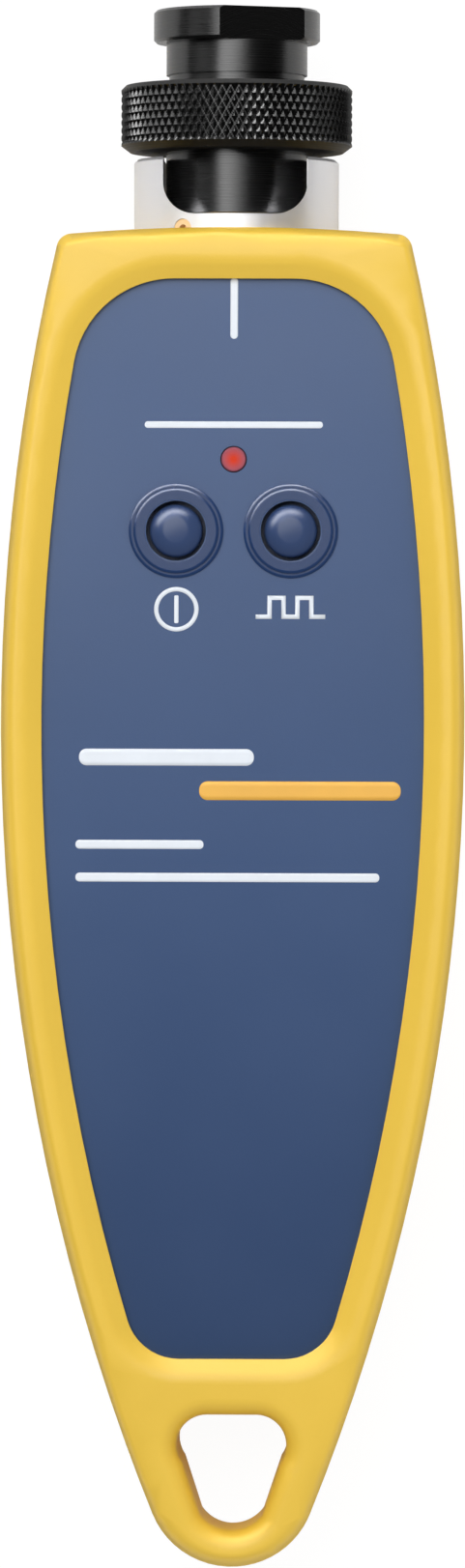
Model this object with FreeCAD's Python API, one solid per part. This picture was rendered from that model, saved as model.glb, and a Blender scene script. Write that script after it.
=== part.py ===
import FreeCAD, Part
import math
import os

# Hand-held visual fault locator in a rubber boot, lying on its back.
# Millimetres. +Z leaves the front face, +Y runs to the port, +X is right seen
# from the front. The origin is under the middle of the length, at rest level.
# A size named _low is measured along Y from the tail end of the boot; one named
# _place, _start or _end is measured back from the boot's port end.

V = FreeCAD.Vector

# ---- Boot: a moulded rubber frame with a lanyard loop at its tail ----
boot_width = 41.6
boot_length = 120.8
boot_wall = 1.9
boot_end_wall = 2.3
widest_share = 0.6306
tail_radius = 7.65
end_crown_radius = 175.0
end_corner_radius = 1.4
rim_edge = 0.85
front_crown_radius = 600.0
front_peak_place = 40.8
back_sweep_radius = 140.0
back_sweep_low = 45.0
rim_recess = 1.6
fit_gap = 0.1

# ---- Windows in the boot ----
front_rim_width = 3.62
tail_bridge = 5.07
front_window_end = 4.63
front_window_low_round = 4.8
front_window_high_round = 9.1
front_bevel_width = 1.65
front_bevel_drop = 1.0
crest_round = 2.2
rear_rim_width = 5.4
rear_window_start = 73.8
rear_window_end = 7.6
rear_window_round = 5.0
rear_bevel = 0.8

# ---- Lanyard hole: a belt round three circles ----
loop_low_radius = 3.5
lower_circle_low = 6.8
loop_top_radius = 2.75
upper_circle_low = 11.05
loop_top_spread = 2.2
loop_edge_round = 1.8

# ---- Housing: two moulded shells inside the boot ----
housing_tuck = 2.27
housing_low_round = 4.0
housing_high_round = 2.0
housing_least_round = 0.6
shell_wall = 2.0
parting_height = 12.0
lip_height = 1.0
housing_edge = 0.4

# ---- Case screws and their bosses ----
screw_radius = 1.0
screw_length = 12.0
screw_head_radius = 1.8
screw_head_height = 1.3
screw_sink = 1.6
screw_recess_radius = 0.8
screw_recess_depth = 0.7
boss_radius = 2.7
upper_boss_x = 11.9
upper_boss_place = 12.2
lower_boss_x = 7.0
lower_boss_place = 85.8
thread_gap = 0.02

# ---- Buttons ----
button_spacing = 10.3
button_place = 27.35
cap_radius = 2.38
cap_rise = 1.25
cap_shoulder = 1.0
cap_crown = 0.3
cap_flange_radius = 3.3
cap_flange = 0.8
button_hole_radius = 2.7
button_travel = 0.5
bezel_radius = 4.18
bezel_step = 0.42
bezel_low_rise = 0.32
bezel_high_rise = 0.6
bezel_edge = 0.16

# ---- Indicator ----
indicator_place = 20.9
indicator_radius = 1.1
indicator_flange_radius = 1.7
indicator_flange = 0.8
indicator_rise = 0.12
indicator_edge = 0.12
led_width = 1.6
led_tall = 0.8
led_gap = 0.2

# ---- Circuit board and what is soldered to it ----
board_width = 23.0
board_start = 60.8
board_past_indicator = 5.1
board_before_laser = 1.0
board_thickness = 1.0
board_corner = 1.5
board_clearance = 0.7
switch_size = 6.0
switch_base = 0.4
switch_tall = 1.55
stem_radius = 1.5
stem_gap = 0.2
switch_clear = 0.1
solder_tail_width = 1.6
post_radius = 1.4
post_place = 50.8
post_x = 9.5

# ---- Cells and their bay (two AAA cells, nose to tail) ----
cell_radius = 5.25
cell_body = 43.7
cell_nub = 0.8
cell_nub_radius = 1.9
cell_edge = 0.4
cell_pitch = 10.9
cell_gap = 0.3
bay_start = 70.8
bay_wall = 1.2
contact_thickness = 0.4
contact_dimple = 0.3
contact_dimple_radius = 1.6
contact_width = 8.6
contact_low = 6.0
contact_tall = 6.5
spring_height = 3.9
leaf_length = 6.0
leaf_width = 4.0
leaf_thickness = 0.3

# ---- Battery door ----
door_thickness = 1.6
door_gap = 0.3
door_corner = 2.0
door_tab_width = 5.0
door_tab_reach = 0.8
door_tab_thickness = 0.8
door_neck = 1.0
door_tongue_width = 8.0
door_tongue_length = 6.0
door_slot = 0.7
door_ridges = 4
door_ridge_pitch = 1.5
door_ridge_width = 14.0
door_ridge = 0.35

# ---- Collar round the port ----
port_height = 11.7
collar_radius = 9.3
collar_stand_out = 6.6
collar_cup_depth = 5.1
collar_slot_width = 13.05
collar_slot_depth = 5.3
collar_slot_round = 3.0
collar_edge = 0.3
spigot_radius = 6.3
spigot_flange_radius = 7.4
spigot_flange = 1.5
collar_boot_gap = 0.2

# ---- Set screws that centre the laser barrel in the collar ----
set_screw_radius = 0.9
set_screw_gap = 0.02
set_screw_sink = 0.1
set_screw_place = 0.05
set_screw_angle = 30.6
set_screw_count = 3
socket_radius = 0.4
socket_depth = 0.8

# ---- Laser barrel, diode, lens and fibre stub ----
laser_radius = 4.8
laser_start = 14.8
nose_radius = 4.0
nose_length = 4.0
diode_radius = 2.8
diode_flange = 1.2
diode_cap_radius = 1.78
diode_cap = 2.4
lead_radius = 0.225
lead_ring = 1.27
lead_reach = 2.0
lens_radius = 2.0
lens_thickness = 2.0
lens_distance = 2.0
lens_bulge_radius = 3.6
ferrule_radius = 1.25
ferrule_edge = 0.3
stub_seat = 5.0
stub_stand_out = 5.3

# ---- Screw-on adapter: barrel, knurled ring and sleeve ----
barrel_radius = 6.4
barrel_cup_gap = 0.3
seat_gap = 0.1
ring_gap = 0.7
ring_radius = 10.5
ring_height = 6.05
ring_top_chamfer = 0.4
ring_low_chamfer_in = 0.8
ring_low_chamfer_up = 0.6
neck_length = 3.9
neck_groove_above_ring = 0.45
neck_groove_width = 0.5
neck_groove_depth = 0.25
head_radius = 7.55
head_height = 2.95
head_chamfer = 0.25
flat_distance = 6.33
flat_angle = 22.0
guide_radius = 1.45
guide_length = 4.0
guide_mouth = 0.4
sleeve_wall = 0.35
sleeve_gap = 0.02
sleeve_slit = 0.3
socket_clearance = 0.6
fit_running = 0.05

# ---- Places along Y that follow from the sizes above ----
overall_length = boot_length + collar_stand_out + ring_gap + ring_height + neck_length + head_height
tail_y = -overall_length / 2
boot_end_y = tail_y + boot_length
collar_end_y = boot_end_y + collar_stand_out
ring_low_y = collar_end_y + ring_gap
ring_high_y = ring_low_y + ring_height
head_low_y = ring_high_y + neck_length
head_high_y = head_low_y + head_height
housing_end_y = boot_end_y - boot_end_wall
cup_floor_y = collar_end_y - collar_cup_depth
slot_floor_y = collar_end_y - collar_slot_depth
barrel_low_y = cup_floor_y + seat_gap
nose_end_y = cup_floor_y + nose_length
socket_end_y = nose_end_y + socket_clearance
guide_low_y = head_high_y - guide_length

half_width = boot_width / 2
widest_y = tail_y + widest_share * boot_length
tail_to_widest = widest_y - tail_y - tail_radius
side_radius = (tail_to_widest ** 2 + half_width ** 2 - tail_radius ** 2) / (2 * (half_width - tail_radius))
side_centre_x = side_radius - half_width
peak_y = boot_end_y - front_peak_place
sweep_y = tail_y + back_sweep_low
window_low_y = tail_y + upper_circle_low + loop_top_radius + tail_bridge
housing_low_y = window_low_y - housing_tuck
housing_inset = boot_wall + fit_gap
bay_low_y = boot_end_y - bay_start
bay_length = 2 * contact_thickness + spring_height + cell_body + cell_nub + contact_dimple
bay_high_y = bay_low_y + bay_length
cell_x = cell_pitch / 2
bay_half = cell_x + cell_radius + cell_gap
door_edge_y = bay_low_y - bay_wall - door_gap
flange_low_y = housing_end_y - shell_wall - fit_gap - spigot_flange
laser_low_y = boot_end_y - laser_start

# ---- Places along Z that follow from the sizes above ----
rear_face_z = rim_recess
door_inner_z = rear_face_z + door_thickness
cell_z = door_inner_z + cell_gap + cell_radius
bay_roof_z = cell_z + cell_radius + cell_gap
board_low_z = bay_roof_z + bay_wall + board_clearance
board_high_z = board_low_z + board_thickness
flange_low_z = board_high_z + switch_tall + switch_clear + button_travel
cap_face_z = flange_low_z + cap_flange + fit_gap + shell_wall
peak_to_buttons = button_place - front_peak_place
cap_face_drop = front_crown_radius - math.sqrt(front_crown_radius ** 2 - peak_to_buttons ** 2)
boot_depth = cap_face_z + rim_recess + cap_face_drop

# Points used by many shapes
port_axis = V(0, 0, port_height)
along_y = V(0, 1, 0)
up = V(0, 0, 1)
past = 1.0
tiny = 1e-3

# Chips and passives on the board: x, place from the port end, size in x, y, z
board_parts = [(0.0, 36.3, 4.4, 5.0, 1.1), (-6.5, 38.8, 3.0, 3.0, 1.0), (6.5, 37.8, 3.2, 1.6, 0.9),
               (6.5, 41.3, 3.2, 1.6, 0.9), (0.0, 43.3, 2.0, 1.2, 0.6), (-3.5, 43.3, 2.0, 1.2, 0.6),
               (3.5, 43.3, 2.0, 1.2, 0.6), (-6.5, 45.8, 3.5, 2.8, 1.6)]


# ---------------------------------------------------------------- helpers
def from_tail(distance):
    """Place along Y of something measured from the boot's tail end."""
    return tail_y + distance


def from_port(distance):
    """Place along Y of something measured back from the boot's port end."""
    return boot_end_y - distance


def box(x0, x1, y0, y1, z0, z1):
    """Block between two corners."""
    return Part.makeBox(x1 - x0, y1 - y0, z1 - z0, V(x0, y0, z0))


def post(radius, x, y, z0, z1):
    """Round post standing along Z."""
    return Part.makeCylinder(radius, z1 - z0, V(x, y, z0))


def rod(radius, y0, y1, x=0.0, z=port_height):
    """Round bar along Y, on the port axis unless told otherwise."""
    return Part.makeCylinder(radius, y1 - y0, V(x, y0, z), along_y)


def polygon(points):
    """Flat face inside a closed run of straight lines."""
    return Part.Face(Part.makePolygon(points + points[:1]))


def turned_on_port(profile):
    """Body turned on the port axis from (place along Y, radius) pairs."""
    points = [V(radius, y, port_height) for y, radius in profile]
    return polygon(points).revolve(port_axis, along_y, 360)


def turned_upright(x, y, profile):
    """Body turned on an upright axis from (radius, height) pairs."""
    points = [V(x + radius, y, z) for radius, z in profile]
    return polygon(points).revolve(V(x, y, 0), up, 360)


def edges_near(shape, test):
    """Edges of a shape whose sampled points all pass a test."""
    return [edge for edge in shape.Edges if all(test(point) for point in edge.discretize(5))]


def upright_edges(shape):
    """Edges that run along Z."""
    straight = [edge for edge in shape.Edges if len(edge.Vertexes) == 2]
    return [edge for edge in straight
            if edge.Vertexes[0].Point.distanceToPoint(edge.Vertexes[1].Point)
            - abs(edge.Vertexes[0].Z - edge.Vertexes[1].Z) < 1e-6]


def rims(shape, radius, z):
    """Level circular edges of one radius at one height."""
    return [edge for edge in shape.Edges if abs(edge.BoundBox.ZMin - z) < tiny
            and edge.BoundBox.ZLength < tiny and abs(edge.BoundBox.XLength - 2 * radius) < tiny]


def export(name, shape):
    """Write one sub-part, after checking that it is closed and sound."""
    solids = shape.Solids
    if not shape.isValid() or not solids:
        raise ValueError(name + " is not a sound solid")
    whole = solids[0] if len(solids) == 1 else Part.makeCompound(solids)
    whole.exportStep("parts/" + name + ".step")


# ------------------------------------------------- outline of the body
def half_width_at(y, inset):
    """Half the body's width at a place along Y, its sides moved inwards."""
    radius = side_radius - inset
    return math.sqrt(radius ** 2 - (y - widest_y) ** 2) - side_centre_x


def front_height(y, inset):
    """Height of the crowned front, moved inwards."""
    radius = front_crown_radius - inset
    return boot_depth - front_crown_radius + math.sqrt(radius ** 2 - (y - peak_y) ** 2)


def back_height(y, inset):
    """Height of the back: flat, then swept up to the tail in one arc."""
    radius = back_sweep_radius - inset
    run = min(0.0, y - sweep_y)
    return back_sweep_radius - math.sqrt(radius ** 2 - run ** 2)


def on_front(inset):
    """Test that a point lies on the front, moved inwards."""
    return lambda point: abs(point.z - front_height(point.y, inset)) < 1e-3


def on_back(inset):
    """Test that a point lies on the back, moved inwards."""
    return lambda point: abs(point.z - back_height(point.y, inset)) < 1e-3


def slab(inset):
    """Everything between the front and the back, each moved inwards."""
    low = tail_y - past
    high = boot_end_y + past
    reach = half_width + past
    front = Part.Arc(V(-reach, low, front_height(low, inset)), V(-reach, peak_y, front_height(peak_y, inset)),
                     V(-reach, high, front_height(high, inset))).toShape()
    middle = (low + sweep_y) / 2
    sweep = Part.Arc(V(-reach, low, back_height(low, inset)), V(-reach, middle, back_height(middle, inset)),
                     V(-reach, sweep_y, inset)).toShape()
    corners = [V(-reach, sweep_y, inset), V(-reach, high, inset), V(-reach, high, front_height(high, inset))]
    flat = Part.makeLine(corners[0], corners[1])
    end = Part.makeLine(corners[1], corners[2])
    tail = Part.makeLine(V(-reach, low, front_height(low, inset)), V(-reach, low, back_height(low, inset)))
    wire = Part.Wire(Part.__sortEdges__([front, sweep, flat, end, tail]))
    return Part.Face(wire).extrude(V(2 * reach, 0, 0))


def sided_prism(inset, low, high, z0, z1, low_round, high_round):
    """Prism with the body's curved sides moved inwards, cut off square at
    two places along Y, with its four upright corners rounded."""
    middle = (low + high) / 2
    right = [V(half_width_at(y, inset), y, z0) for y in (low, middle, high)]
    left = [V(-point.x, point.y, point.z) for point in right]
    edges = [Part.makeLine(left[0], right[0]), Part.Arc(*right).toShape(),
             Part.makeLine(right[2], left[2]), Part.Arc(left[2], left[1], left[0]).toShape()]
    prism = Part.Face(Part.Wire(edges)).extrude(V(0, 0, z1 - z0))
    for radius, place in ((low_round, low), (high_round, high)):
        corners = [edge for edge in upright_edges(prism) if abs(edge.Vertexes[0].Y - place) < 1e-6]
        prism = prism.makeFillet(radius, corners)
    return prism


def boot_prism():
    """Prism with the boot's outline: a round tail that runs into two long
    side arcs, and a slightly crowned end with small corners."""
    tail = V(0, tail_y + tail_radius, 0)
    scale = side_radius / (side_radius - tail_radius)
    side_centre = V(-side_centre_x, widest_y, 0)
    joins = side_centre + (tail - side_centre) * scale
    crown_y = boot_end_y - end_crown_radius
    corner_x = half_width_at(boot_end_y, 0)
    for step in range(20):
        corner_y = crown_y + math.sqrt(end_crown_radius ** 2 - corner_x ** 2)
        corner_x = half_width_at(corner_y, 0)
    corner = V(corner_x, corner_y, 0)
    widest = V(half_width, widest_y, 0)

    def mirrored(point):
        return V(-point.x, point.y, point.z)

    edges = [Part.Arc(mirrored(joins), V(0, tail_y, 0), joins).toShape(),
             Part.Arc(joins, widest, corner).toShape(),
             Part.Arc(corner, V(0, boot_end_y, 0), mirrored(corner)).toShape(),
             Part.Arc(mirrored(corner), mirrored(widest), mirrored(joins)).toShape()]
    prism = Part.Face(Part.Wire(edges)).extrude(V(0, 0, boot_depth + past))
    corners = [edge for edge in upright_edges(prism) if abs(edge.Vertexes[0].Y - corner_y) < 1e-3]
    return prism.makeFillet(end_corner_radius, corners)


def belt_prism(circles, z0, z1):
    """Prism with the outline of a belt pulled round circles, given in order
    against the clock as (x, y, radius)."""
    edges = []
    joints = []
    for (x0, y0, r0), (x1, y1, r1) in zip(circles, circles[1:] + circles[:1]):
        run = math.hypot(x1 - x0, y1 - y0)
        heading = math.atan2(y1 - y0, x1 - x0)
        turn = heading - math.pi / 2 + math.asin((r1 - r0) / run)
        normal = V(math.cos(turn), math.sin(turn), 0)
        joints.append((V(x0, y0, z0) + normal * r0, V(x1, y1, z0) + normal * r1))
    for index, (x, y, radius) in enumerate(circles):
        start = joints[index - 1][1]
        end = joints[index][0]
        centre = V(x, y, z0)
        halfway = (start - centre) + (end - centre)
        edges.append(Part.Arc(start, centre + halfway.normalize() * radius, end).toShape())
        edges.append(Part.makeLine(*joints[index]))
    return Part.Face(Part.Wire(edges)).extrude(V(0, 0, z1 - z0))


def housing_block(inset):
    """The housing's whole form, its walls moved inwards."""
    low_round = max(housing_low_round - inset, housing_least_round)
    high_round = max(housing_high_round - inset, housing_least_round)
    block = sided_prism(housing_inset + inset, housing_low_y + inset, housing_end_y - inset,
                        -past, boot_depth + past, low_round, high_round)
    return block.common(slab(rim_recess + inset))


# ---------------------------------------------------------------- boot
def inside_sides(low, high, inset, grow):
    """Test that a point is within a window's outline, grown all round."""
    def test(point):
        level = min(max(point.y, low), high)
        return low - grow < point.y < high + grow and abs(point.x) < half_width_at(level, inset) + grow
    return test


def cut_loop(boot):
    """Cut the lanyard hole through the tail and round both its edges."""
    circles = [(0, from_tail(lower_circle_low), loop_low_radius),
               (loop_top_spread, from_tail(upper_circle_low), loop_top_radius),
               (-loop_top_spread, from_tail(upper_circle_low), loop_top_radius)]
    boot = boot.cut(belt_prism(circles, -past, boot_depth + past))
    reach_x = loop_top_spread + loop_top_radius + tiny
    reach_y = from_tail(upper_circle_low) + loop_top_radius + tiny
    lowest_y = from_tail(lower_circle_low) - loop_low_radius - tiny
    for face in (on_front(0), on_back(0)):
        edges = edges_near(boot, lambda point: face(point) and abs(point.x) < reach_x
                           and lowest_y < point.y < reach_y)
        boot = boot.makeFillet(loop_edge_round, edges)
    return boot


def cut_front_window(boot):
    """Cut the front window, bevel it down from the crowned rim and round
    the crest between rim and bevel."""
    low, high = window_low_y, from_port(front_window_end)
    boot = boot.cut(sided_prism(front_rim_width, low, high, port_height, boot_depth + past,
                                front_window_low_round, front_window_high_round))
    for step, grow in ((bevel_edges, tiny), (round_crest, front_bevel_width + tiny)):
        inside = inside_sides(low, high, front_rim_width, grow)
        boot = step(boot, edges_near(boot, lambda point: on_front(0)(point) and inside(point)))
    return boot


def bevel_edges(boot, edges):
    """Bevel from the rim down to the window's lip."""
    return boot.makeChamfer(front_bevel_width, front_bevel_drop, edges)


def round_crest(boot, edges):
    """Soft crest between the rim and its bevel."""
    return boot.makeFillet(crest_round, edges)


def cut_rear_window(boot):
    """Cut the rear window over the battery door and chamfer its edge."""
    low, high = from_port(rear_window_start), from_port(rear_window_end)
    boot = boot.cut(sided_prism(rear_rim_width, low, high, -past, port_height,
                                rear_window_round, rear_window_round))
    inside = inside_sides(low, high, rear_rim_width, tiny)
    return boot.makeChamfer(rear_bevel, edges_near(boot, lambda point: on_back(0)(point) and inside(point)))


def make_boot():
    """One-piece rubber boot: a crowned frame open at the front and back,
    with bevelled windows, a lanyard loop and a hole for the collar."""
    boot = boot_prism().common(slab(0))
    for face in (on_front(0), on_back(0)):
        boot = boot.makeChamfer(rim_edge, edges_near(boot, face))
    boot = cut_rear_window(cut_front_window(cut_loop(boot)))
    boot = boot.cut(housing_block(-fit_gap))
    return boot.cut(rod(collar_radius + collar_boot_gap, housing_end_y, boot_end_y + past))


# ------------------------------------------------------------- housing
def boss_places():
    """The four case screws' places, as (x, y)."""
    upper = from_port(upper_boss_place)
    lower = from_port(lower_boss_place)
    return [(side * x, y) for x, y in ((upper_boss_x, upper), (lower_boss_x, lower)) for side in (-1, 1)]


def screw_seat(y):
    """Height of the seat under a case screw's head."""
    return back_height(y, rim_recess) + screw_sink


def button_places():
    """The left and right button's places, as (x, y)."""
    return [(side * button_spacing / 2, from_port(button_place)) for side in (-1, 1)]


def housing_walls():
    """The housing's closed wall, before it is parted and opened."""
    block = housing_block(0)
    block = block.makeChamfer(housing_edge, edges_near(block, on_front(rim_recess))
                              + edges_near(block, on_back(rim_recess)))
    return block.cut(housing_block(shell_wall))


def lip_band(outer, inner, z0, z1):
    """Band that follows the inside of the wall, for the tongue and groove."""
    return housing_band(outer, z0, z1).cut(housing_band(inner, z0 - past, z1 + past))


def housing_band(inset, z0, z1):
    """Slice of the housing's plan between two heights."""
    return housing_block(inset).common(box(-half_width, half_width, tail_y, boot_end_y, z0, z1))


def spigot_hole():
    """Cutter for the collar's spigot and the flange behind the end wall."""
    hole = rod(spigot_radius + fit_gap, flange_low_y, housing_end_y + past)
    return hole.fuse(rod(spigot_flange_radius + fit_gap, flange_low_y - fit_gap,
                         flange_low_y + spigot_flange + fit_gap))


def bezel(x, y):
    """Raised ring round a button, in two rounded steps."""
    base = front_height(y, rim_recess)
    low = base + bezel_low_rise
    high = base + bezel_high_rise
    inner_step = bezel_radius - bezel_step
    ring = turned_upright(x, y, [(0, base - shell_wall / 2), (bezel_radius, base - shell_wall / 2),
                                 (bezel_radius, low), (inner_step, low), (inner_step, high), (0, high)])
    return ring.makeChamfer(bezel_edge, rims(ring, bezel_radius, low) + rims(ring, inner_step, high))


def make_front_shell():
    """Blue front shell: crowned face with two bezels, the indicator's hole,
    four screw bosses and two posts that hold the board down."""
    shell = housing_walls().common(box(-half_width, half_width, tail_y, boot_end_y, parting_height,
                                       boot_depth + past))
    inner = housing_block(shell_wall / 2)
    for x, y in boss_places():
        shell = shell.fuse(post(boss_radius, x, y, parting_height, boot_depth).common(inner))
    for side in (-1, 1):
        board_post = post(post_radius, side * post_x, from_port(post_place),
                          board_high_z + fit_gap, boot_depth)
        shell = shell.fuse(board_post.common(inner))
    shell = shell.cut(lip_band(shell_wall / 2, shell_wall + fit_gap, parting_height - past,
                               parting_height + lip_height + fit_gap))
    for x, y in button_places():
        shell = shell.fuse(bezel(x, y))
        shell = shell.cut(post(button_hole_radius, x, y, parting_height, boot_depth + past))
    shell = shell.cut(post(indicator_radius + fit_gap, 0, from_port(indicator_place), parting_height,
                           boot_depth + past))
    for x, y in boss_places():
        screw_end = screw_seat(y) + screw_length + fit_gap
        shell = shell.cut(post(screw_radius + thread_gap, x, y, parting_height - past, screw_end))
    return shell.cut(spigot_hole())


def make_rear_shell():
    """Blue rear shell: wall with a tongue, the cell bay with its roof, the
    door's recess and four counterbored screw bosses."""
    shell = housing_walls().common(box(-half_width, half_width, tail_y, boot_end_y, -past, parting_height))
    tongue = lip_band(shell_wall / 2 + fit_gap, shell_wall, parting_height - lip_height,
                      parting_height + lip_height)
    shell = shell.fuse(tongue)
    inner = housing_block(shell_wall / 2)
    for x, y in boss_places():
        shell = shell.fuse(post(boss_radius, x, y, 0, parting_height - fit_gap).common(inner))
    bay = box(-bay_half - bay_wall, bay_half + bay_wall, bay_low_y - bay_wall, bay_high_y + bay_wall,
              rear_face_z + shell_wall / 2, bay_roof_z + bay_wall)
    shell = shell.fuse(bay)
    for side in (-1, 1):
        x = side * (bay_half - bay_wall)
        shell = shell.fuse(box(x - bay_wall / 2, x + bay_wall / 2, from_port(board_start), bay_high_y,
                               bay_roof_z, board_low_z))
    shell = shell.cut(box(-bay_half, bay_half, bay_low_y, bay_high_y, -past, bay_roof_z))
    for side in (-1, 1):
        shell = shell.cut(solder_tail(side, fit_gap, boot_depth))
    shell = shell.cut(door_prism(0, rear_face_z - past, door_inner_z + fit_gap))
    shell = shell.cut(tab_notch())
    shell = shell.cut(finger_scoop())
    for x, y in boss_places():
        shell = shell.cut(post(screw_radius + fit_gap, x, y, -past, parting_height + past))
        shell = shell.cut(post(screw_head_radius + fit_gap, x, y, -past, screw_seat(y)))
    return shell.cut(spigot_hole())


def make_case_screws():
    """Four pan-head screws that draw the shells together from behind."""
    screws = []
    for x, y in boss_places():
        seat = screw_seat(y)
        screw = post(screw_head_radius, x, y, seat - screw_head_height, seat)
        screw = screw.fuse(post(screw_radius, x, y, seat, seat + screw_length))
        recess = post(screw_recess_radius, x, y, seat - screw_head_height - past,
                      seat - screw_head_height + screw_recess_depth)
        screws.append(screw.cut(recess))
    return Part.makeCompound(screws)


# -------------------------------------------------------- battery door
def door_prism(inset, z0, z1):
    """Rounded plan of the door's recess, moved inwards by inset."""
    reach = bay_half + bay_wall + door_gap - inset
    low = door_edge_y + inset
    high = bay_high_y + bay_wall + door_gap - inset
    panel = box(-reach, reach, low, high, z0, z1)
    return panel.makeFillet(door_corner, upright_edges(panel))


def tab_notch():
    """Room in the bay's tail wall for the door's tab to hook and turn in."""
    half = door_tab_width / 2 + door_gap
    reach = door_gap + door_tab_reach + door_gap
    top = rear_face_z + shell_wall + 4 * door_gap + door_tab_thickness
    return box(-half, half, door_edge_y - reach, bay_low_y + past, door_inner_z + fit_gap, top)


def finger_scoop():
    """Shallow dish in the back beside the door's tongue, for a fingertip."""
    y = bay_high_y + bay_wall + door_gap
    dish = Part.makeSphere(door_tongue_width, V(0, y, rear_face_z - door_tongue_width + door_thickness / 2))
    return dish.common(box(-half_width, half_width, y - past, boot_end_y, -past, rear_face_z + shell_wall))


def make_battery_door():
    """Door that hooks in at the tail end and snaps in at its tongue."""
    door = door_prism(door_gap, rear_face_z, door_inner_z)
    low = door_edge_y + door_gap
    half = door_tab_width / 2
    tab_z = rear_face_z + shell_wall + door_gap
    neck = box(-half, half, low, low + door_neck, door_inner_z, tab_z + door_tab_thickness)
    tab = box(-half, half, door_edge_y - door_tab_reach, low + door_neck, tab_z, tab_z + door_tab_thickness)
    door = door.fuse(neck).fuse(tab)
    high = bay_high_y + bay_wall
    for side in (-1, 1):
        slot_x = side * (door_tongue_width + door_slot) / 2
        door = door.cut(box(slot_x - door_slot / 2, slot_x + door_slot / 2, high - door_tongue_length,
                            high + past, 0, door_inner_z + past))
    ridge_half = door_ridge_width / 2
    for index in range(door_ridges):
        y = high - door_tongue_length - (index + 1) * door_ridge_pitch - door_ridge_pitch
        door = door.cut(box(-ridge_half, ridge_half, y, y + door_ridge_pitch / 2, 0,
                            rear_face_z + door_ridge))
    return door


# ------------------------------------------------------------- buttons
def make_button(x, y):
    """Domed cap with a flange that the front shell holds captive."""
    face = front_height(y, rim_recess)
    top = face + cap_rise
    under = face - shell_wall - fit_gap
    crown_radius = (cap_radius ** 2 + cap_crown ** 2) / (2 * cap_crown)
    crown_z = top - crown_radius
    inner = cap_radius - cap_shoulder
    shoulder_z = crown_z + math.sqrt((crown_radius - cap_shoulder) ** 2 - inner ** 2)
    meet = V(inner, 0, shoulder_z - crown_z).normalize() * crown_radius
    half_turn = (V(1, 0, 0) + (meet - V(inner, 0, shoulder_z - crown_z)) * (1 / cap_shoulder)).normalize()
    crown_turn = (V(0, 0, 1) + meet * (1 / crown_radius)).normalize() * crown_radius
    shoulder = Part.Arc(V(cap_radius, 0, shoulder_z), V(inner, 0, shoulder_z) + half_turn * cap_shoulder,
                        V(meet.x, 0, crown_z + meet.z)).toShape()
    dome = Part.Arc(V(meet.x, 0, crown_z + meet.z), V(crown_turn.x, 0, crown_z + crown_turn.z),
                    V(0, 0, top)).toShape()
    foot = under - cap_flange
    outline = Part.makePolygon([V(0, 0, top), V(0, 0, foot), V(cap_flange_radius, 0, foot),
                                V(cap_flange_radius, 0, under), V(cap_radius, 0, under),
                                V(cap_radius, 0, shoulder_z)])
    cap = Part.Face(Part.Wire(outline.Edges + [shoulder, dome])).revolve(V(0, 0, 0), up, 360)
    cap.translate(V(x, y, 0))
    return cap


def make_switch_stem(x, y):
    """Plunger between a cap and the dome inside its switch."""
    top = front_height(y, rim_recess) - shell_wall - fit_gap - cap_flange
    return post(stem_radius, x, y, board_high_z + switch_base + button_travel + fit_gap, top)


def make_switch(x, y):
    """Square switch on the board, with a well for its stem."""
    half = switch_size / 2
    top = front_height(y, rim_recess) - shell_wall - fit_gap - cap_flange - button_travel - switch_clear
    body = box(x - half, x + half, y - half, y + half, board_high_z, top)
    return body.cut(post(stem_radius + stem_gap, x, y, board_high_z + switch_base, top + past))


def make_indicator_lens():
    """Clear light pipe: a domed end in the face and a flange behind it."""
    y = from_port(indicator_place)
    face = front_height(y, rim_recess)
    under = face - shell_wall - fit_gap
    top = face + indicator_rise
    pipe = post(indicator_radius, 0, y, board_high_z + led_tall + led_gap, top)
    pipe = pipe.makeChamfer(indicator_edge, rims(pipe, indicator_radius, top))
    return pipe.fuse(post(indicator_flange_radius, 0, y, under - indicator_flange, under))


def make_indicator_led():
    """Surface-mounted diode under the light pipe."""
    y = from_port(indicator_place)
    half = led_width / 2
    return box(-half, half, y - half / 2, y + half / 2, board_high_z, board_high_z + led_tall)


# --------------------------------------------------------------- board
def make_circuit_board():
    """Board over the cell bay, notched for the diode's leads."""
    half = board_width / 2
    end_y = max(from_port(indicator_place) + board_past_indicator, laser_low_y - board_before_laser)
    board = box(-half, half, from_port(board_start), end_y, board_low_z, board_high_z)
    board = board.makeFillet(board_corner, upright_edges(board))
    for x, z in lead_places():
        board = board.cut(post(lead_radius + fit_gap, x, lead_turn_y(z), board_low_z - past,
                               board_high_z + past))
    for side in (-1, 1):
        board = board.cut(solder_tail(side, fit_gap, boot_depth))
    return board


def make_board_parts():
    """Chips and passives soldered to the board's upper side."""
    parts = []
    for x, place, long, wide, tall in board_parts:
        middle = from_port(place)
        parts.append(box(x - long / 2, x + long / 2, middle - wide / 2, middle + wide / 2,
                         board_high_z, board_high_z + tall))
    return Part.makeCompound(parts)


# --------------------------------------------------------------- cells
def make_cell(side):
    """One cell; the left one's nub points to the port, the right one's to
    the tail."""
    x = side * cell_x
    if side < 0:
        foot = bay_low_y + contact_thickness + spring_height
        heading = along_y
    else:
        foot = bay_high_y - contact_thickness - spring_height
        heading = -along_y
    body = Part.makeCylinder(cell_radius, cell_body, V(x, foot, cell_z), heading)
    body = body.makeChamfer(cell_edge, [edge for edge in body.Edges if edge.BoundBox.YLength < tiny])
    return body.fuse(Part.makeCylinder(cell_nub_radius, cell_body + cell_nub, V(x, foot, cell_z), heading))


def contact_plate(x0, x1, y):
    """Flat spring-steel plate standing across the bay."""
    return box(x0, x1, y, y + contact_thickness, contact_low, contact_low + contact_tall)


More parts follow.
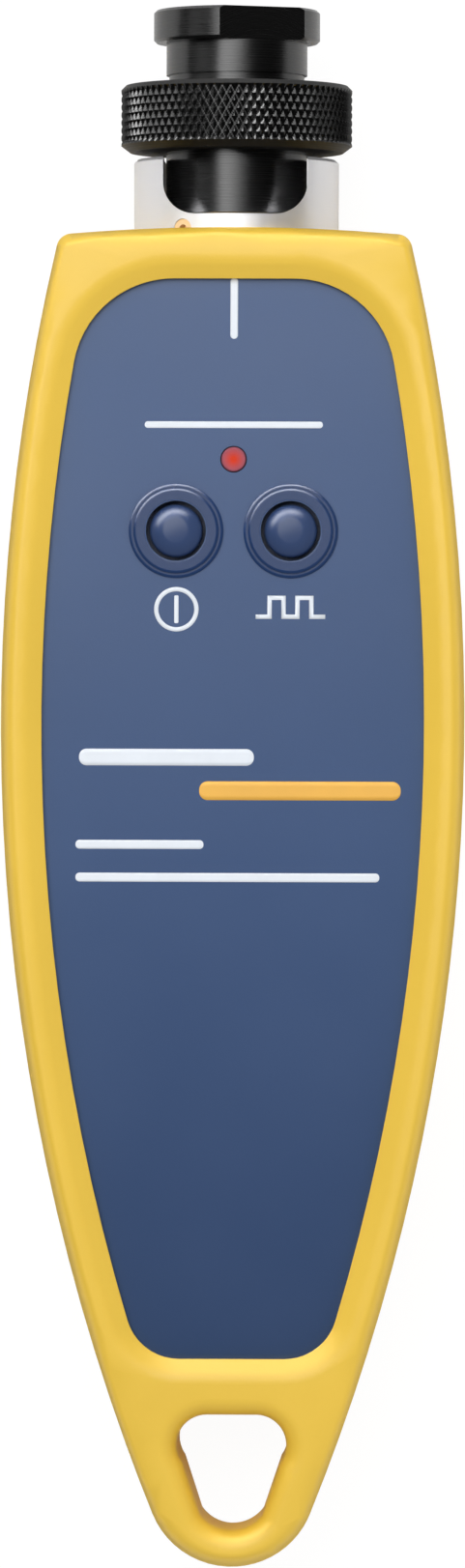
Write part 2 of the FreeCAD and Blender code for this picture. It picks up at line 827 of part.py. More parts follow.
def solder_tail(side, gap, high):
    """Strip that rises from a port-end contact through roof and board."""
    x = side * cell_x
    half = solder_tail_width / 2 + gap
    y = bay_high_y - contact_thickness
    return box(x - half, x + half, y - gap, y + contact_thickness + gap, contact_low + contact_tall / 2, high)


def dimple(x, y, heading):
    """Round dimple pressed out of a plate towards a cell's nub."""
    return Part.makeCylinder(contact_dimple_radius, contact_dimple, V(x, y, cell_z), heading)


def make_tail_contact():
    """Plate at the tail end that joins the two cells in series."""
    front_y = bay_low_y + contact_thickness
    plate = contact_plate(-cell_x - contact_width / 2, cell_x + contact_width / 2, bay_low_y)
    return plate.fuse(dimple(cell_x, front_y, along_y)).fuse(leaf(-cell_x, front_y, 1))


def make_port_contact(side):
    """Plate at the port end with a tail that is soldered to the board."""
    x = side * cell_x
    y = bay_high_y - contact_thickness
    plate = contact_plate(x - contact_width / 2, x + contact_width / 2, y)
    plate = plate.fuse(solder_tail(side, 0, board_high_z + fit_gap))
    return plate.fuse(dimple(x, y, -along_y) if side < 0 else leaf(x, y, -1))


def leaf(x, y, heading):
    """Bowed leaf of a contact that presses on a cell's flat end."""
    half = leaf_length / 2
    outer = Part.Arc(V(x, y, cell_z - half), V(x, y + heading * spring_height, cell_z),
                     V(x, y, cell_z + half)).toShape()
    inner = Part.Arc(V(x, y, cell_z + half - leaf_thickness),
                     V(x, y + heading * (spring_height - leaf_thickness), cell_z),
                     V(x, y, cell_z - half + leaf_thickness)).toShape()
    ends = [Part.makeLine(outer.Vertexes[1].Point, inner.Vertexes[0].Point),
            Part.makeLine(inner.Vertexes[1].Point, outer.Vertexes[0].Point)]
    section = Part.Face(Part.Wire([outer, ends[0], inner, ends[1]]))
    section.translate(V(-leaf_width / 2, 0, 0))
    return section.extrude(V(leaf_width, 0, 0))


# -------------------------------------------------------------- collar
def make_collar():
    """Turned and milled collar: spigot with a flange behind the housing's
    end wall, a cup round the adapter and a slot milled across the cup."""
    flange_high = flange_low_y + spigot_flange
    shoulder = housing_end_y + fit_gap
    collar = turned_on_port([(flange_low_y, laser_radius + fit_running), (flange_low_y, spigot_flange_radius),
                             (flange_high, spigot_flange_radius), (flange_high, spigot_radius),
                             (shoulder, spigot_radius), (shoulder, collar_radius),
                             (collar_end_y - collar_edge, collar_radius),
                             (collar_end_y, collar_radius - collar_edge),
                             (collar_end_y, barrel_radius + barrel_cup_gap),
                             (cup_floor_y, barrel_radius + barrel_cup_gap),
                             (cup_floor_y, laser_radius + fit_running)])
    half = collar_slot_width / 2
    slot = box(-half, half, slot_floor_y, collar_end_y + past + collar_slot_round, -past, boot_depth + past)
    corners = [edge for edge in slot.Edges if abs(edge.BoundBox.ZLength - boot_depth - 2 * past) < tiny
               and edge.BoundBox.YMax < slot_floor_y + tiny]
    collar = collar.cut(slot.makeFillet(collar_slot_round, corners))
    for turn in set_screw_turns():
        collar = collar.cut(radial_pin(set_screw_radius + set_screw_gap, laser_radius - past,
                                       collar_radius + past, turn))
    return collar


def set_screw_turns():
    """Angles of the set screws about the port axis, from the front."""
    return [-set_screw_angle + index * 360 / set_screw_count for index in range(set_screw_count)]


def radial_pin(radius, inner, outer, turn):
    """Round pin pointing straight out from the port axis."""
    angle = math.radians(turn)
    heading = V(math.sin(angle), 0, math.cos(angle))
    start = V(0, from_port(set_screw_place), port_height) + heading * inner
    return Part.makeCylinder(radius, outer - inner, start, heading)


def make_set_screws():
    """Brass set screws that centre the laser barrel in the collar."""
    screws = []
    for turn in set_screw_turns():
        outer = collar_radius - set_screw_sink
        screw = radial_pin(set_screw_radius, laser_radius + fit_running, outer, turn)
        screws.append(screw.cut(radial_pin(socket_radius, outer - socket_depth, outer + past, turn)))
    return Part.makeCompound(screws)


# --------------------------------------------------------------- laser
def make_laser_housing():
    """Brass barrel that holds diode, lens and fibre stub, with a threaded
    nose for the adapter."""
    seat_y = laser_low_y + diode_flange
    lens_y = seat_y + diode_cap + lens_distance
    stub_y = cup_floor_y + nose_length - stub_seat
    return turned_on_port([(laser_low_y, diode_radius + fit_running), (laser_low_y, laser_radius),
                           (cup_floor_y, laser_radius), (cup_floor_y, nose_radius),
                           (nose_end_y, nose_radius), (nose_end_y, ferrule_radius + thread_gap),
                           (stub_y, ferrule_radius + thread_gap), (stub_y, lens_radius / 2),
                           (lens_y + lens_thickness, lens_radius / 2),
                           (lens_y + lens_thickness, lens_radius + fit_running),
                           (seat_y + fit_gap, lens_radius + fit_running),
                           (seat_y + fit_gap, diode_radius + fit_running)])


def lead_places():
    """The diode's three leads in its base, as (x, z)."""
    turns = [math.radians(angle) for angle in (90, 210, 330)]
    return [(lead_ring * math.cos(turn), port_height + lead_ring * math.sin(turn)) for turn in turns]


def lead_turn_y(z):
    """Where along Y a lead turns up to the board."""
    return laser_low_y - lead_reach - (port_height + lead_ring - z) / 2


def make_laser_diode():
    """Can diode with three leads bent up through the board."""
    diode = rod(diode_radius, laser_low_y, laser_low_y + diode_flange)
    diode = diode.fuse(rod(diode_cap_radius, laser_low_y, laser_low_y + diode_flange + diode_cap))
    for x, z in lead_places():
        y = lead_turn_y(z)
        path = Part.makePolygon([V(x, laser_low_y, z), V(x, y, z), V(x, y, board_high_z + fit_gap)])
        circle = Part.Wire(Part.makeCircle(lead_radius, V(x, laser_low_y, z), along_y))
        diode = diode.fuse(path.makePipeShell([circle], True, False, 1))
    return diode


def make_laser_lens():
    """Collimating lens, flat towards the diode and domed towards the stub."""
    back = laser_low_y + diode_flange + diode_cap + lens_distance
    disc = rod(lens_radius, back, back + lens_thickness)
    ball = Part.makeSphere(lens_bulge_radius, V(0, back + lens_thickness - lens_bulge_radius, port_height))
    return disc.common(ball)


def make_ferrule_stub():
    """Ceramic stub that carries the light into a plugged-in ferrule."""
    start = nose_end_y - stub_seat
    stub = rod(ferrule_radius, start, nose_end_y + stub_stand_out)
    ends = [edge for edge in stub.Edges if edge.BoundBox.YMin > nose_end_y + stub_stand_out - tiny]
    return stub.makeChamfer(ferrule_edge, ends)


# ------------------------------------------------------------- adapter
def make_adapter_barrel():
    """Turned black adapter: threaded socket, sleeve pocket, grooved neck
    and a head with two spanner flats round the port's guide bore."""
    sleeve_radius = ferrule_radius + sleeve_gap + sleeve_wall + sleeve_gap
    groove_low = ring_high_y + neck_groove_above_ring
    groove_high = groove_low + neck_groove_width
    groove_radius = barrel_radius - neck_groove_depth
    barrel = turned_on_port([(barrel_low_y, nose_radius + fit_running), (barrel_low_y, barrel_radius),
                             (groove_low, barrel_radius), (groove_low, groove_radius),
                             (groove_high, groove_radius), (groove_high, barrel_radius),
                             (head_low_y, barrel_radius), (head_low_y, head_radius - head_chamfer),
                             (head_low_y + head_chamfer, head_radius),
                             (head_high_y - head_chamfer, head_radius),
                             (head_high_y, head_radius - head_chamfer),
                             (head_high_y, guide_radius + guide_mouth),
                             (head_high_y - guide_mouth, guide_radius), (guide_low_y, guide_radius),
                             (guide_low_y, sleeve_radius), (socket_end_y, sleeve_radius),
                             (socket_end_y, nose_radius + fit_running)])
    for side in (0, 180):
        flat = box(-head_radius, head_radius, head_low_y - tiny, head_high_y + past,
                   flat_distance, 2 * head_radius)
        flat.rotate(V(0, 0, 0), along_y, flat_angle + side)
        flat.translate(V(0, 0, port_height))
        barrel = barrel.cut(flat)
    return barrel


def make_knurled_ring():
    """Finger ring pressed on the barrel, chamfered at both ends."""
    bore = barrel_radius + thread_gap
    return turned_on_port([(ring_low_y, bore), (ring_low_y, ring_radius - ring_low_chamfer_in),
                           (ring_low_y + ring_low_chamfer_up, ring_radius),
                           (ring_high_y - ring_top_chamfer, ring_radius),
                           (ring_high_y, ring_radius - ring_top_chamfer), (ring_high_y, bore)])


def make_alignment_sleeve():
    """Split ceramic sleeve that lines two ferrules up."""
    inner = ferrule_radius + sleeve_gap
    low = socket_end_y + fit_gap
    high = guide_low_y - fit_gap
    outer = inner + sleeve_wall
    sleeve = turned_on_port([(low, inner), (low, outer), (high, outer), (high, inner)])
    slit = box(-sleeve_slit / 2, sleeve_slit / 2, low - past, high + past, port_height,
               port_height + 2 * inner)
    return sleeve.cut(slit)


# ---------------------------------------------------------------- main
def main():
    """Build every sub-part and write it."""
    os.makedirs("parts", exist_ok=True)
    left, right = button_places()
    sub_parts = {
        "boot": make_boot(),
        "front_shell": make_front_shell(),
        "rear_shell": make_rear_shell(),
        "case_screws": make_case_screws(),
        "battery_door": make_battery_door(),
        "power_button": make_button(*left),
        "flash_button": make_button(*right),
        "power_switch": make_switch(*left),
        "flash_switch": make_switch(*right),
        "power_switch_stem": make_switch_stem(*left),
        "flash_switch_stem": make_switch_stem(*right),
        "indicator_lens": make_indicator_lens(),
        "indicator_led": make_indicator_led(),
        "circuit_board": make_circuit_board(),
        "board_parts": make_board_parts(),
        "left_cell": make_cell(-1),
        "right_cell": make_cell(1),
        "tail_contact": make_tail_contact(),
        "positive_contact": make_port_contact(-1),
        "negative_contact": make_port_contact(1),
        "collar": make_collar(),
        "set_screws": make_set_screws(),
        "laser_housing": make_laser_housing(),
        "laser_diode": make_laser_diode(),
        "laser_lens": make_laser_lens(),
        "ferrule_stub": make_ferrule_stub(),
        "adapter_barrel": make_adapter_barrel(),
        "knurled_ring": make_knurled_ring(),
        "alignment_sleeve": make_alignment_sleeve(),
    }
    for name, shape in sub_parts.items():
        export(name, shape)


main()
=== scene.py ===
"""Looks of a hand-held visual fault locator in a rubber boot.

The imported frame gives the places; every finish and fine form is made here.
Lengths in the classes are in millimetres, and meshes are in metres.
"""

import logging
import math
from dataclasses import dataclass, field
from enum import Enum
from functools import cache

import bpy
import numpy as np
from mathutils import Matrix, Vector


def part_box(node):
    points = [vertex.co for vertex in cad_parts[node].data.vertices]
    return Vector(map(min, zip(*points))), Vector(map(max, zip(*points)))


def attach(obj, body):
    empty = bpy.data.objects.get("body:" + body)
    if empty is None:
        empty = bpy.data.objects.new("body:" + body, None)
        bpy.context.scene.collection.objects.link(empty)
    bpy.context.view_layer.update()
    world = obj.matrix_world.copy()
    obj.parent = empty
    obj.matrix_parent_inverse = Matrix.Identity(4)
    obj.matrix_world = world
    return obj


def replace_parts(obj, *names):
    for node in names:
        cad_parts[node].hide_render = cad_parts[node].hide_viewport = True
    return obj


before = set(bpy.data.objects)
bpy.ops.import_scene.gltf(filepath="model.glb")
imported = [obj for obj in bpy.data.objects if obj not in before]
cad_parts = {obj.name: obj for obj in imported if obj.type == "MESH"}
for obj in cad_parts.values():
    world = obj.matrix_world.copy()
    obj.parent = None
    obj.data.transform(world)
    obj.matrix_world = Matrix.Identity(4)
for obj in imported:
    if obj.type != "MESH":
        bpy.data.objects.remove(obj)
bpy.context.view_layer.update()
MM = 0.001
AXIS_HEIGHT = 11.7
NOISE_SPAN = (0.3, 0.7)
WELD = 2e-7
log = logging.getLogger("fault_locator")
Colour = tuple[float, float, float, float]
Point = tuple[float, float]
Run = tuple[float, float, float]
Node = bpy.types.Node
Tree = bpy.types.NodeTree
Socket = bpy.types.NodeSocket
Sockets = bpy.types.bpy_prop_collection
Piece = bpy.types.Object


def display(red: float, green: float, blue: float) -> Colour:
    """Linear colour of a display colour.

    Args:
        red: 0 to 255.
        green: 0 to 255.
        blue: 0 to 255.

    Returns:
        The colour as shaders take it, by the usual display curve.
    """
    level = np.array([red, green, blue]) / 255
    curve = np.where(level <= 0.04045, level / 12.92, ((level + 0.055) / 1.055) ** 2.4)
    return (float(curve[0]), float(curve[1]), float(curve[2]), 1.0)


# ---------------- node graphs
class Graph:
    """Node tree with short ways to add, link and place effects."""

    def __init__(self, tree: Tree) -> None:
        """Start on a tree."""
        self.tree = tree

    def add(self, kind: str, inputs: dict | None = None, **settings: object) -> Node:
        """Add a node.

        Args:
            kind: the node's type.
            inputs: input name or number to a socket or a value.
            settings: the node's own properties.

        Returns:
            The node.
        """
        node = self.tree.nodes.new(kind)
        for name, value in settings.items():
            setattr(node, name, value)
        for key, value in (inputs or {}).items():
            self.feed(node.inputs[key], value)
        return node

    def feed(self, target: Socket, value: object) -> None:
        """Link a socket, or set a value, into an input.

        Args:
            target: the input.
            value: a socket or a constant.
        """
        if isinstance(value, Socket):
            self.tree.links.new(value, target)
        else:
            target.default_value = value

    def calc(self, operation: str, first: object, second: object = 0.0) -> Socket:
        """Result of one sum on two numbers."""
        return self.add("ShaderNodeMath", {0: first, 1: second}, operation=operation).outputs[0]

    def ramp(self, value: object, low: float, high: float, to_low: float = 0.0,
             to_high: float = 1.0) -> Socket:
        """Value moved from one range to another and kept inside it."""
        return self.add("ShaderNodeMapRange", {"Value": value, "From Min": low, "From Max": high,
                                               "To Min": to_low, "To Max": to_high}).outputs[0]

    def blend(self, share: object, first: object, second: object) -> Socket:
        """Mix of two colours by a share."""
        return self.add("ShaderNodeMix", {0: share, 6: first, 7: second}, data_type="RGBA").outputs[2]

    def mix(self, share: object, first: object, second: object) -> Socket:
        """Mix of two numbers by a share."""
        return self.add("ShaderNodeMix", {0: share, 2: first, 3: second}, data_type="FLOAT").outputs[0]

    def noise(self, place: object, scale: object, detail: float = 2.0, roughness: float = 0.5) -> Socket:
        """Noise read at a place."""
        return self.add("ShaderNodeTexNoise", {"Vector": place, "Scale": scale, "Detail": detail,
                                               "Roughness": roughness}).outputs[0]

    def length(self, first: object, second: object) -> Socket:
        """Square root of the sum of two squares."""
        squares = [self.calc("POWER", side, 2.0) for side in (first, second)]
        return self.calc("SQRT", self.calc("ADD", *squares))

    def axes(self, vector: object) -> tuple[Socket, ...]:
        """The three numbers of a vector."""
        return tuple(self.add("ShaderNodeSeparateXYZ", {0: vector}).outputs)

    def seen(self) -> Socket:
        """1 on rays from the camera, straight or through something clear."""
        rays = self.add("ShaderNodeLightPath").outputs
        return self.calc("MAXIMUM", rays["Is Camera Ray"], rays["Is Transmission Ray"])


class Look(Graph):
    """Graph of one material, with its shader and the place on the piece."""

    def __init__(self, material: bpy.types.Material) -> None:
        """Start on a material, with object coordinates in metres."""
        super().__init__(material.node_tree)
        self.shader = material.node_tree.nodes["Principled BSDF"]
        self.place = self.add("ShaderNodeTexCoord").outputs["Object"]

    def give(self, name: str, value: object) -> None:
        """Feed one of the shader's inputs."""
        self.feed(self.shader.inputs[name], value)

    def bump(self, height: Socket, depth: float) -> None:
        """Feed a height of that depth in millimetres into the normal."""
        node = self.add("ShaderNodeBump", {"Height": height, "Distance": depth * MM, "Strength": 1.0})
        self.give("Normal", node.outputs[0])

    def effect(self, tree: Tree, **inputs: object) -> Sockets:
        """Spread a shared effect over the piece, and give back its results by name."""
        return self.add("ShaderNodeGroup", {"Place": self.place, **inputs}, node_tree=tree).outputs


class Effect:
    """Shared effects, each built once as a node group."""

    fine_scale = 2.7
    fine_share = 0.4
    scuff_turn = (0.3, 0.2, 0.7)
    scuff_stretch = (1.0, 0.12, 1.0)
    scuff_lines = 6.0
    scuff_width = 0.004
    scuff_breaks = (0.55, 0.7)

    @staticmethod
    def start(name: str, outputs: dict[str, str],
              **inputs: float | Colour) -> tuple[Graph, Sockets, Sockets]:
        """Make an empty group that is given a place and some values.

        Args:
            name: the group's name.
            outputs: name to kind.
            inputs: name to default, a number or a colour.

        Returns:
            The graph, what the group is given, and what it has to feed.
        """
        tree = bpy.data.node_groups.new(name, "ShaderNodeTree")
        tree.interface.new_socket("Place", in_out="INPUT", socket_type="NodeSocketVector")
        for label, value in inputs.items():
            kind = "NodeSocketFloat" if isinstance(value, float) else "NodeSocketColor"
            socket = tree.interface.new_socket(label, in_out="INPUT", socket_type=kind)
            socket.default_value = value
        for label, kind in outputs.items():
            tree.interface.new_socket(label, in_out="OUTPUT", socket_type=f"NodeSocket{kind}")
        graph = Graph(tree)
        return graph, graph.add("NodeGroupInput").outputs, graph.add("NodeGroupOutput").inputs

    @classmethod
    @cache
    def grain(cls) -> Tree:
        """Fine eroded grain of a moulded part.

        Returns:
            Group with Height: two sizes of noise added, the finer one weaker.
        """
        graph, given, out = cls.start("moulded_grain", {"Height": "Float"}, Size=0.0002)
        scale = graph.calc("DIVIDE", 1.0, given["Size"])
        coarse = graph.noise(given["Place"], scale, 3.0)
        fine = graph.noise(given["Place"], graph.calc("MULTIPLY", scale, cls.fine_scale))
        graph.feed(out["Height"], graph.calc("ADD", coarse, graph.calc("MULTIPLY", fine, cls.fine_share)))
        return graph.tree

    @classmethod
    @cache
    def drift(cls) -> Tree:
        """Slow change of tint over a surface.

        Returns:
            Group with Color: the colour made a little lighter or darker by
            wide noise, and Level: that noise from 0 to 1.
        """
        graph, given, out = cls.start("tint_drift", {"Color": "Color", "Level": "Float"},
                                      Color=(1.0, 1.0, 1.0, 1.0), Size=0.02, Amount=0.05)
        noise = graph.noise(given["Place"], graph.calc("DIVIDE", 1.0, given["Size"]), 3.0, 0.6)
        level = graph.ramp(noise, *NOISE_SPAN)
        change = graph.calc("MULTIPLY", graph.calc("SUBTRACT", level, 0.5), given["Amount"])
        tint = graph.add("ShaderNodeHueSaturation", {"Color": given["Color"],
                                                     "Value": graph.calc("ADD", change, 1.0)})
        graph.feed(out["Color"], tint.outputs[0])
        graph.feed(out["Level"], level)
        return graph.tree

    @classmethod
    @cache
    def turning(cls) -> Tree:
        """Fine lines that a lathe tool leaves round the port axis.

        Returns:
            Group with Height: noise read only along the axis plus the way
            out from it, so walls and end faces both get rings.
        """
        graph, given, out = cls.start("turning_lines", {"Height": "Float"}, Pitch=0.0001)
        x, y, z = graph.axes(given["Place"])
        out_way = graph.length(x, graph.calc("SUBTRACT", z, AXIS_HEIGHT * MM))
        along = graph.calc("DIVIDE", graph.calc("ADD", out_way, y), given["Pitch"])
        lines = graph.add("ShaderNodeTexNoise", {"W": along, "Scale": 1.0, "Detail": 4.0},
                          noise_dimensions="1D")
        graph.feed(out["Height"], lines.outputs[0])
        return graph.tree

    @classmethod
    @cache
    def scuffs(cls) -> Tree:
        """Sparse hair scratches.

        Returns:
            Group with Mask: 1 on thin lines where stretched noise crosses
            its middle value, broken up by wider noise.
        """
        graph, given, out = cls.start("hair_scuffs", {"Mask": "Float"}, Size=0.01)
        turned = graph.add("ShaderNodeMapping", {"Vector": given["Place"], "Rotation": cls.scuff_turn,
                                                 "Scale": cls.scuff_stretch})
        lines = graph.noise(turned.outputs[0], graph.calc("DIVIDE", cls.scuff_lines, given["Size"]))
        close = graph.calc("ABSOLUTE", graph.calc("SUBTRACT", lines, 0.5))
        wide = graph.noise(given["Place"], graph.calc("DIVIDE", 1.0, given["Size"]))
        graph.feed(out["Mask"], graph.calc("MULTIPLY", graph.ramp(close, cls.scuff_width, 0.0),
                                           graph.ramp(wide, *cls.scuff_breaks)))
        return graph.tree


# ---------------- finishes
@dataclass(frozen=True)
class Finish:
    """A finish with one principled shader."""

    name: str
    colour: Colour
    roughness: float = 0.5
    metallic: float = 0.0
    drift_size: float = 20.0
    drift_amount: float = 0.06
    coat: float = 0.0
    coat_roughness: float = 0.15
    specular: float = 0.5

    def material(self) -> bpy.types.Material:
        """Make the material, or give back the one already made.

        Returns:
            The finished material.
        """
        if self.name in bpy.data.materials:
            return bpy.data.materials[self.name]
        material = bpy.data.materials.new(self.name)
        material.use_nodes = True
        look = Look(material)
        for name, value in (("Roughness", self.roughness), ("Metallic", self.metallic),
                            ("Coat Weight", self.coat), ("Coat Roughness", self.coat_roughness),
                            ("Specular IOR Level", self.specular)):
            look.give(name, value)
        self.dress(look)
        return material

    def shade(self, look: Look) -> Colour | Socket:
        """Colour before its drift."""
        return self.colour

    def paint(self, look: Look) -> Socket:
        """Feed the colour, drifting.

        Args:
            look: the material's graph.

        Returns:
            The drift's level, from 0 to 1.
        """
        drift = look.effect(Effect.drift(), Color=self.shade(look), Size=self.drift_size * MM,
                            Amount=self.drift_amount)
        look.give("Base Color", drift["Color"])
        return drift["Level"]

    def dress(self, look: Look) -> None:
        """Feed what this finish changes over the piece."""
        self.paint(look)


@dataclass(frozen=True)
class Moulded(Finish):
    """Moulded rubber or plastic with an eroded grain and faint scuffs."""

    rough_change: float = 0.03
    grain_size: float = 0.25
    grain_depth: float = 0.01
    scuff: float = 0.05
    scuff_size: float = 14.0

    def dress(self, look: Look) -> None:
        """Feed a drifting colour and roughness, smoother scuffs and the grain.

        Args:
            look: the material's graph.
        """
        rough = look.ramp(self.paint(look), 0.0, 1.0, self.roughness - self.rough_change,
                          self.roughness + self.rough_change)
        grain = look.effect(Effect.grain(), Size=self.grain_size * MM)
        scuffs = look.effect(Effect.scuffs(), Size=self.scuff_size * MM)
        smoother = look.calc("MULTIPLY", scuffs["Mask"], self.scuff)
        look.give("Roughness", look.calc("SUBTRACT", rough, smoother))
        look.bump(grain["Height"], self.grain_depth)


@dataclass(frozen=True)
class Turned(Finish):
    """Turned metal, bare or anodised."""

    smoother: float = 0.04
    rougher: float = 0.05
    line_pitch: float = 0.2
    line_depth: float = 0.001

    def dress(self, look: Look) -> None:
        """Feed a drifting colour, and turning lines to roughness and bump.

        Args:
            look: the material's graph.
        """
        self.paint(look)
        lines = look.effect(Effect.turning(), Pitch=self.line_pitch * MM)["Height"]
        look.give("Roughness", look.ramp(lines, *NOISE_SPAN, self.roughness - self.smoother,
                                         self.roughness + self.rougher))
        look.bump(lines, self.line_depth)


@dataclass(frozen=True)
class Threaded(Turned):
    """Turned metal with a fine thread on its nose."""

    thread_start: float = 51.8
    thread_pitch: float = 0.75
    thread_depth: float = 0.5

    def dress(self, look: Look) -> None:
        """Feed colour, roughness, and a thread past a place along the axis.

        The thread is a triangle wave of the place in pitches plus the turn.

        Args:
            look: the material's graph.
        """
        super().dress(look)
        x, y, z = look.axes(look.place)
        turn = look.calc("ARCTAN2", x, look.calc("SUBTRACT", z, AXIS_HEIGHT * MM))
        run = look.calc("ADD", look.calc("DIVIDE", y, self.thread_pitch * MM),
                        look.calc("DIVIDE", turn, 2 * math.pi))
        wave = look.calc("PINGPONG", run, 0.5)
        past = look.calc("GREATER_THAN", y, self.thread_start * MM)
        look.bump(look.calc("MULTIPLY", wave, past), self.thread_depth)


@dataclass(frozen=True)
class Banded(Finish):
    """Painted cell jacket with a plain band at its nub end."""

    band: Colour = display(70, 120, 150)
    span: Point = (14.0, 60.0)
    grain_size: float = 0.5
    grain_depth: float = 0.003

    def shade(self, look: Look) -> Socket:
        """Jacket colour with a band between two places along the cell.

        Args:
            look: the material's graph.

        Returns:
            The colour.
        """
        along = look.axes(look.place)[1]
        inside = look.calc("MULTIPLY", look.calc("GREATER_THAN", along, self.span[0] * MM),
                           look.calc("LESS_THAN", along, self.span[1] * MM))
        return look.blend(inside, self.colour, self.band)

    def dress(self, look: Look) -> None:
        """Feed the banded colour and a slight grain."""
        self.paint(look)
        look.bump(look.effect(Effect.grain(), Size=self.grain_size * MM)["Height"], self.grain_depth)


@dataclass(frozen=True)
class Board(Finish):
    """Circuit board: resist over traces that run on a square grid."""

    trace: Colour = (0.1, 0.3, 0.1, 1.0)
    trace_pitch: float = 2.2
    trace_share: float = 0.09
    trace_edge: float = 0.2
    trace_height: float = 0.03

    def traces(self, look: Look) -> Socket:
        """1 on the traces."""
        return look.add("ShaderNodeTexBrick", {
            "Vector": look.place, "Scale": 1 / (self.trace_pitch * MM), "Mortar Size": self.trace_share,
            "Mortar Smooth": self.trace_edge}).outputs["Fac"]

    def shade(self, look: Look) -> Socket:
        """Resist, paler over the traces."""
        return look.blend(self.traces(look), self.colour, self.trace)

    def dress(self, look: Look) -> None:
        """Feed the colour, and raise the traces slightly."""
        self.paint(look)
        look.bump(self.traces(look), self.trace_height)


@dataclass(frozen=True)
class Clear(Finish):
    """Clear glass."""

    transmission: float = 1.0

    def dress(self, look: Look) -> None:
        """Feed a tint that drifts, with constant transmission."""
        self.paint(look)
        look.give("Transmission Weight", self.transmission)


@dataclass(frozen=True)
class PaintedLightFace(Moulded):
    """Case face with painted light: paler towards the port, as if lit more from that end."""

    # far: the paler colour towards the port, painted light
    far: Colour = (0.1, 0.2, 0.3, 1.0)
    fade: Point = (-52.0, -8.0)

    def shade(self, look: Look) -> Socket:
        """Colour that turns to the paler, painted-lit colour between two places along the tool."""
        share = look.ramp(look.axes(look.place)[1], self.fade[0] * MM, self.fade[1] * MM)
        return look.blend(share, self.colour, self.far)


@dataclass(frozen=True)
class Domed(Finish):
    """Tinted cap of the status light, with painted shade round its edge: duller, less red and slightly
    darker there.
    """

    # edge: painted shade of the dome's rim
    edge: Colour = (0.5, 0.2, 0.2, 1.0)
    middle_y: float = 29.4
    clear_radius: float = 0.2
    rim_shade_radius: float = 1.1

    def shade(self, look: Look) -> Socket:
        """Colour by the way out from the light's middle, turning to the painted rim shade towards the edge.

        Args:
            look: the material's graph.

        Returns:
            The colour.
        """
        x, y = look.axes(look.place)[:2]
        away = look.length(x, look.calc("SUBTRACT", y, self.middle_y * MM))
        share = look.ramp(away, self.clear_radius * MM, self.rim_shade_radius * MM)
        return look.blend(share, self.colour, self.edge)


class Palette(Enum):
    """The finishes of the pieces and the floor."""

    BOOT = Moulded("boot_rubber", display(232, 192, 67), 0.42, drift_amount=0.05, grain_size=0.22,
                   grain_depth=0.006, scuff=0.06)
    CASE = Moulded("case_plastic", display(42, 64, 103), 0.36, drift_amount=0.04, grain_size=0.16,
                   grain_depth=0.005)
    # The face's far colour is painted light: the face turns paler towards the port.
    FACE = PaintedLightFace("face_painted_light", display(41, 64, 102), 0.37, drift_amount=0.04, grain_size=0.16,
                   grain_depth=0.005, far=display(49, 75, 117), specular=0.45)
    BUTTON = Moulded("button_plastic", display(51, 69, 107), 0.3, drift_amount=0.03, specular=0.42,
                     grain_size=0.14, grain_depth=0.003, scuff=0.04)
    BEZEL = Moulded("bezel_plastic", display(32, 56, 98), 0.26, drift_amount=0.03, grain_size=0.14,
                    grain_depth=0.002, scuff=0.04)
    WHITE_INK = Moulded("white_ink", display(224, 230, 238), 0.5, drift_size=3.0, drift_amount=0.05,
                        grain_size=0.12, grain_depth=0.002)
    AMBER_INK = Moulded("amber_ink", display(232, 176, 72), 0.5, drift_size=3.0, drift_amount=0.05,
                        grain_size=0.12, grain_depth=0.002)
    COLLAR = Turned("satin_aluminium", display(227, 227, 230), 0.4, 0.7, drift_amount=0.03,
                    line_pitch=0.1, line_depth=0.0012)
    BARREL = Turned("black_anodised", display(4, 4, 4), 0.25, drift_amount=0.1, specular=0.85,
                    line_pitch=0.09, line_depth=0.0015)
    KNURL = Turned("black_knurled", display(4, 4, 4), 0.25, drift_amount=0.1, specular=0.44)
    RING_EDGE = Turned("ring_chamfer", display(4, 4, 4), specular=0.25)
    CENTRING_SCREW = Turned("centring_brass", display(226, 196, 152), metallic=0.5)
    LASER_BARREL = Threaded("threaded_brass", display(208, 172, 98), 0.32, 1.0, line_pitch=0.1,
                            line_depth=0.0015)
    GOLD_CAN = Turned("gold_plated_can", display(222, 186, 112), 0.25, 1.0)
    ZINC = Turned("plated_steel", display(188, 188, 186), 0.32, 1.0, line_pitch=0.15, line_depth=0.002)
    NICKEL = Moulded("spring_steel", display(196, 194, 188), 0.3, 1.0, grain_size=0.4, grain_depth=0.002)
    CERAMIC = Moulded("white_ceramic", display(238, 236, 230), 0.18, grain_size=0.3, grain_depth=0.0005)
    # The lens's edge colour is painted shade round the dome's rim.
    LENS = Domed("red_lens", display(206, 56, 22), 0.5, specular=0.15, drift_size=1.5, drift_amount=0.1,
                 edge=display(150, 84, 100))
    LASER_LENS = Clear("clear_glass", display(232, 238, 242), 0.04, drift_amount=0.02)
    LED = Moulded("diode_body", display(232, 226, 200), 0.3, drift_size=1.0)
    RESIST = Board("green_resist", display(28, 92, 48), 0.35, trace=display(58, 128, 70), coat=0.3)
    CHIP = Moulded("chip_package", display(38, 38, 40), 0.5, drift_size=2.0, grain_size=0.1,
                   grain_depth=0.003)
    SWITCH = Moulded("switch_body", display(34, 34, 36), 0.45, drift_size=3.0, grain_size=0.12,
                     grain_depth=0.003)
    LEFT_JACKET = Banded("left_cell_jacket", display(196, 198, 202), 0.3, 0.4)
    RIGHT_JACKET = Banded("right_cell_jacket", display(196, 198, 202), 0.3, 0.4, span=(-30.0, -5.0))
    PAPER = Finish("floor_paper", (0.82, 0.82, 0.82, 1.0), 0.9, drift_size=300.0, drift_amount=0.01,
                   specular=0.1)

    def on(self, piece: Piece) -> None:
        """Give a piece this finish."""
        piece.data.materials.clear()
        piece.data.materials.append(self.value.material())


